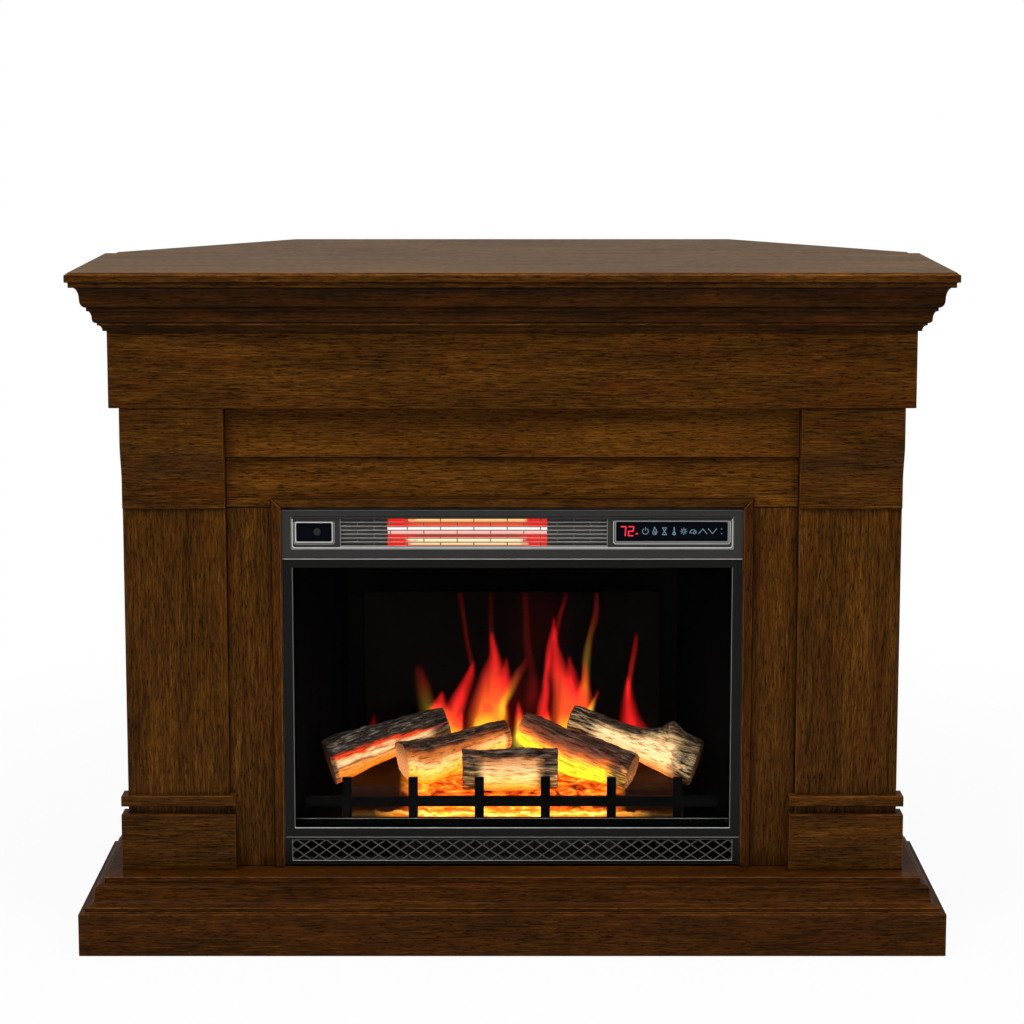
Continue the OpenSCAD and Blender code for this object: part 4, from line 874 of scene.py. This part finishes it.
def painted_resin(name, look, turn, seed, ends, along):
    """Cast resin painted as wood: bands round the log, grain along it, char, ringed ends, and a
    glow that is partly lit resin and partly painted light.

    turn lays the log's length on X, ends are the centres of its ends, and along its direction."""
    finish, add = new_finish(name + "_painted_resin")
    spot = add("TexCoord").outputs["Object"]
    turned = add("Mapping", {"Vector": spot, "Rotation": turn})
    sized = add("VectorMath MULTIPLY", {0: turned, 1: (22, 210, 210)})
    shifted = add("VectorMath ADD", {0: sized, 1: (seed * 3.7, seed, seed * 1.3)})
    grain = add("TexNoise", {"Vector": shifted, "Scale": 1.0, "Detail": 6, "Roughness": 0.62,
                             "Distortion": 0.8})
    wide = add("TexNoise", {"Vector": turned, "Scale": 26, "Detail": 3})
    fine = add("TexNoise", {"Vector": shifted, "Scale": 1.7, "Detail": 5, "Roughness": 0.66})
    level, run, end = (add("Attribute", attribute_name=key).outputs["Fac"]
                       for key in ("round", "run", "end"))
    wave = add("Math MULTIPLY_ADD", {0: grain, 1: 0.34, 2: -0.17})
    drift = add("Math MULTIPLY_ADD", {0: wide, 1: 0.22, 2: -0.11})
    both = add("Math ADD", {0: wave, 1: drift})
    lean = add("Math MULTIPLY_ADD", {0: run, 1: look.get("lean", 0.0), 2: both})
    band = add("Math ADD", {0: level, 1: lean}, use_clamp=True)
    skin = add("ValToRGB", {"Fac": band}, look["skin"])
    streak = add("ValToRGB", {"Fac": fine}, (
        (0.33, "#20100a"), (0.41, "#c89a70"), (0.5, "#ffffff")))
    worn = add("Mix RGBA", {0: 0.8, 6: skin, 7: streak}, blend_type="MULTIPLY")
    dark = None
    for start, stop, depth in look["char"]:
        edge = {1: stop * 0.55, 2: stop, 3: depth, 4: 0.0} if start == 0.0 else {
            1: start, 2: start + (stop - start) * 0.5, 3: 0.0, 4: depth}
        reach = add("MapRange", {0: run, **edge})
        rough = add("MapRange", {0: grain, 1: 0.35, 2: 0.62, 3: 0.3, 4: 1.3})
        part = add("Math MULTIPLY", {0: reach, 1: rough}, use_clamp=True)
        dark = add("Math MAXIMUM", {0: dark, 1: part}) if dark else part
    # Bark from dark char up to the ridge colour, which is partly a painted highlight on the raised
    # grain.
    bark = add("ValToRGB", {"Fac": fine}, (
        (0.38, "#150e0b"), (0.47, "#2c211c"), (0.55, "#5a483c"), (0.63, look["ridge"])))
    on_top = add("MapRange", {0: band, 1: 0.8, 2: 0.9, 3: 0.0, 4: look["barked"]})
    cover = add("Math MAXIMUM", {0: dark, 1: on_top})
    charred = add("Mix RGBA", {0: cover, 6: worn, 7: bark})

    # Yearly rings on the ends, 5 mm apart, so that they show from a step away.
    half = add("Math GREATER_THAN", {0: run, 1: 0.5})
    heart = add("Mix VECTOR", {0: half, 4: ends[0], 5: ends[1]})
    away = add("VectorMath SUBTRACT", {0: spot, 1: heart})
    out = add("VectorMath CROSS_PRODUCT", {0: away, 1: along})
    radius = add("VectorMath LENGTH", {0: out})
    turns = add("Math MULTIPLY", {0: radius, 1: 1250})
    wander = add("Math MULTIPLY_ADD", {0: wide, 1: 9.0, 2: turns})
    ring = add("Math SINE", {0: wander})
    ringed = add("MapRange", {0: ring, 1: -1.0, 2: 0.6, 3: 0.45, 4: 0.0})
    sawn = add("Mix RGBA", {0: ringed, 6: paint(look["sawn"]), 7: paint("#5a2c14")})
    colour = add("Mix RGBA", {0: end, 6: charred, 7: sawn})

    # The glow fades from the underside up and is off on char: partly the ember bed's light through
    # the resin, partly painted light for the lamps' light.
    hot = add("MapRange", {0: level, 1: 0.4, 2: look["lit"], 3: 1.0, 4: 0.03})
    cool = add("Math SUBTRACT", {0: hot, 1: dark}, use_clamp=True)
    light = add("Mix RGBA", {0: 1.0, 6: colour, 7: cool}, blend_type="MULTIPLY")
    relief = add("Bump", {"Strength": 0.8, "Distance": 0.002, "Height": fine})
    add("OutputMaterial", {"Surface": add("BsdfPrincipled", {
        "Base Color": colour, "Roughness": 0.6, "Normal": relief, "Specular IOR Level": 0.08,
        "Emission Color": light, "Emission Strength": 1.15 * look["glow"]})})
    return finish


def station(path, t):
    """Centre and radius on a smooth curve through a log's stations, for t from 0 to 1."""
    n = len(path) - 1
    k = min(int(t * n), n - 1)
    u = t * n - k
    a, b, c, d = (path[min(max(i, 0), n)] for i in (k - 1, k, k + 1, k + 2))
    return [q + 0.5 * u * (r - p + u * (2 * p - 5 * q + 4 * r - s + u * (3 * (q - r) + s - p)))
            for p, q, r, s in zip(a, b, c, d)]


STEPS = 120
for number, (node, path) in enumerate(LOGS.items()):
    samples = [station(path, i / STEPS) for i in range(STEPS + 1)]
    centres = [place(x, CASE_FRONT + back, PAN_TOP + z) for x, back, z, _ in samples]
    along = (centres[-1] - centres[0]).normalized()
    side = Vector((0, 0, 1)).cross(along).normalized()
    up = along.cross(side)
    reaches = [(centre - centres[0]).dot(along) for centre in centres]
    bm = bmesh.new()
    bm.from_mesh(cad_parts[node].data)
    bmesh.ops.remove_doubles(bm, verts=bm.verts, dist=0.00001)
    bmesh.ops.subdivide_edges(bm, edges=bm.edges, cuts=3, use_grid_fill=True, smooth=0.0)
    bmesh.ops.triangulate(bm, faces=bm.faces)
    bmesh.ops.subdivide_edges(bm, edges=bm.edges, cuts=1, use_grid_fill=True)
    bmesh.ops.smooth_vert(bm, verts=bm.verts, factor=0.5, use_axis_x=True, use_axis_y=True,
                          use_axis_z=True)
    bm.normal_update()
    layers = {key: bm.verts.layers.float.new(key) for key in ("round", "run", "end")}
    for v in bm.verts:
        reach = (v.co - centres[0]).dot(along)
        nearest = min(range(STEPS + 1), key=lambda i: abs(reaches[i] - reach))
        off = v.co - centres[nearest]
        level = off.dot(up) / (samples[nearest][3] / 1000)
        cut_end = abs(v.normal.dot(along)) > 0.8
        v[layers["round"]] = min(max((level + 1) / 2, 0), 1)
        v[layers["run"]] = min(max(reach / reaches[-1], 0), 1)
        v[layers["end"]] = 1.0 if cut_end else 0.0
        # Bark 2.4 mm rough with 5 mm ridges above, smoother split wood below, flat sawn ends.
        spot = (Vector((reach * 28, off.dot(side) * 150, off.dot(up) * 150))
                + Vector((number * 7.3, 0, 0)))
        bark = noise.fractal(spot, 0.9, 2.1, 4) * (0.0024 if level > 0.25 else 0.0013)
        if cut_end:
            v.co += v.normal * (bark * 0.3)
            continue
        ridge = (abs(noise.noise(spot * 0.55)) - 0.25) * (0.005 if level > 0.25 else 0.002)
        lump = Vector((reach * 16, number * 5.1, off.dot(side) * 20))
        v.co += v.normal * (bark - ridge + noise.noise(lump) * 0.004 * max(level, 0))
        if node == "log_5":
            # The broken knot that stands up near the log's right end, and the dip before it.
            spread = math.hypot(reach - 0.15, off.dot(side) * 0.8) / 0.014
            knot = 0.014 * math.exp(-spread * spread) * (1 + 0.3 * noise.noise(spot * 2))
            dip = 0.012 * math.exp(-((reach - 0.09) / 0.045) ** 2)
            v.co.z += max(level, 0) * (knot - dip)
    turn = (0, math.asin(along.z), -math.atan2(along.y, along.x))
    finish = painted_resin(node, LOG_LOOKS[node], turn, number + 1, (centres[0], centres[-1]),
                           along)
    keep(node + "_cast", bm, [finish], node=node, smooth=60)

# ---- Ember bed ----
# A cast of glowing coals in translucent resin over the lamps, with loose coals along its front.

# Ember resin: dark crust with bright veins about 20 mm apart, lit from below in its middle.
ember, add = new_finish("glowing_ember_resin")
spot = add("TexCoord").outputs["Object"]
sized = add("VectorMath MULTIPLY", {0: spot, 1: (0.7, 1.0, 1.8)})
warp = add("TexNoise", {"Vector": sized, "Scale": 42, "Detail": 5, "Distortion": 1.6,
                        "Roughness": 0.62})
lumps = add("TexNoise", {"Vector": sized, "Scale": 14, "Detail": 2})
mixed = add("Mix FLOAT", {0: 0.3, 2: warp, 3: lumps})
veins = add("ValToRGB", {"Fac": mixed}, (
    (0.35, "#1c0400"), (0.42, "#a02a04"), (0.48, "#e0500e"), (0.56, "#fb8420"), (0.64, "#ffc43c")))
axis = add("SeparateXYZ", {0: spot}).outputs
reach = add("Math ABSOLUTE", {0: axis["X"]})
middle = add("MapRange", {0: reach, 1: 0.13, 2: 0.165, 3: 1.0, 4: 0.006})
wider = add("MapRange", {0: reach, 1: 0.12, 2: 0.2, 3: 1.0, 4: 0.03})
# The lamps under the bed show at its front foot as a nearly white-hot band, 9 mm high.
uneven = add("Math MULTIPLY_ADD", {0: mixed, 1: 0.03, 2: axis["Z"]})
height = add("MapRange", {0: uneven, 1: 0.185, 2: 0.2, 3: 0.0, 4: 1.0})
foot = add("ValToRGB", {"Fac": height}, (
    (0.0, "#e05c0e"), (0.28, "#ff9824"), (0.42, "#ffd068"), (0.55, "#ff881c"), (0.72, "#501400"),
    (1.0, "#000000")))
shown = [add("Mix RGBA", {0: 1.0, 6: a, 7: b}, blend_type="MULTIPLY")
         for a, b in ((veins, middle), (foot, wider))]
light = add("Mix RGBA", {0: 1.0, 6: shown[0], 7: shown[1]}, blend_type="LIGHTEN")
relief = add("Bump", {"Strength": 0.9, "Distance": 0.003, "Height": mixed})
add("OutputMaterial", {"Surface": add("BsdfPrincipled", {
    "Base Color": paint("#160803"), "Roughness": 0.55, "Normal": relief,
    "Specular IOR Level": 0.1, "Emission Color": light, "Emission Strength": 2.2})})
bm = bmesh.new()
bm.from_mesh(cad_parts["ember_bed"].data)
bmesh.ops.remove_doubles(bm, verts=bm.verts, dist=0.00001)
keep("ember_bed_glowing", bm, [ember], node="ember_bed", smooth=20)

# ---- Steel case and the parts inside it ----
# Case, vented back, cord gland, flame spindle on its cradle, blower, and two circuit boards.

zinc = bare_metal("zinc_plated_steel", "#a9adb0", 0.34)
nylon = coated_steel("black_nylon", "#151516", 0.5)
board_green = coated_steel("green_solder_mask", "#12402a", 0.35)
for node, finish, body, slot, width in (
    ("insert_case", black_coat, "mantel", "black_enamel", 0.4),
    ("case_back", black_coat, "mantel", "black_enamel", 0.3),
    ("cord_gland", nylon, "mantel", "black_nylon", 0.6),
    ("spindle_cradle", zinc, "mantel", "zinc_steel", 0.2),
    ("spindle_motor", zinc, "mantel", "zinc_steel", 0.8),
    ("flame_spindle", mirror_strip, "spindle", "polished_reflector", 0.15),
    ("blower_housing", matt_black, "mantel", "black_enamel", 0.2),
    ("blower_motor", zinc, "mantel", "zinc_steel", 0.8),
    ("blower_impeller", nylon, "fan", "black_nylon", 0.15),
    ("circuit_boards", board_green, "mantel", "circuit_board", 0.2),
):
    plainly_finished(node, "made", finish, width, body)

# ---- Screws ----
# Zinc-plated pan-head screws with a cross recess, which hold the case's back and the
# hardboard back. None shows at the front.

CASE_BACK, BOARD_BACK = 293.5, 325.0        # set-backs of the two faces that carry heads
HEAD_HEIGHT = 1.6
TO_BACK = Matrix.Rotation(math.radians(-90), 3, "X")
SCREWS = [(x, CASE_BACK, z) for x in (-312, -104, 104, 312) for z in (118, 612)]
SCREWS += [(side * 312, CASE_BACK, z) for side in (-1, 1) for z in (282, 448)]
SCREWS += [(x, BOARD_BACK, z) for x in (-527, -316, -105, 105, 316, 527) for z in (657.5, 941)]
bm = bmesh.new()
for x, back, z in SCREWS:
    head = bmesh.ops.create_cone(bm, cap_ends=True, segments=20, radius1=0.0034, radius2=0.0021,
                                 depth=HEAD_HEIGHT / 1000)["verts"]
    bmesh.ops.rotate(bm, cent=(0, 0, 0), matrix=TO_BACK, verts=head)
    bmesh.ops.translate(bm, vec=place(x, back + HEAD_HEIGHT / 2, z), verts=head)
    for wide, tall in ((1.5, 0.35), (0.35, 1.5)):
        cross = plate(bm, (x - wide, back + 1.5, z - tall), (x + wide, back + 1.64, z + tall))
        for face in {f for v in cross for f in v.link_faces}:
            face.material_index = 1
keep("screws", bm, [zinc, matt_black])
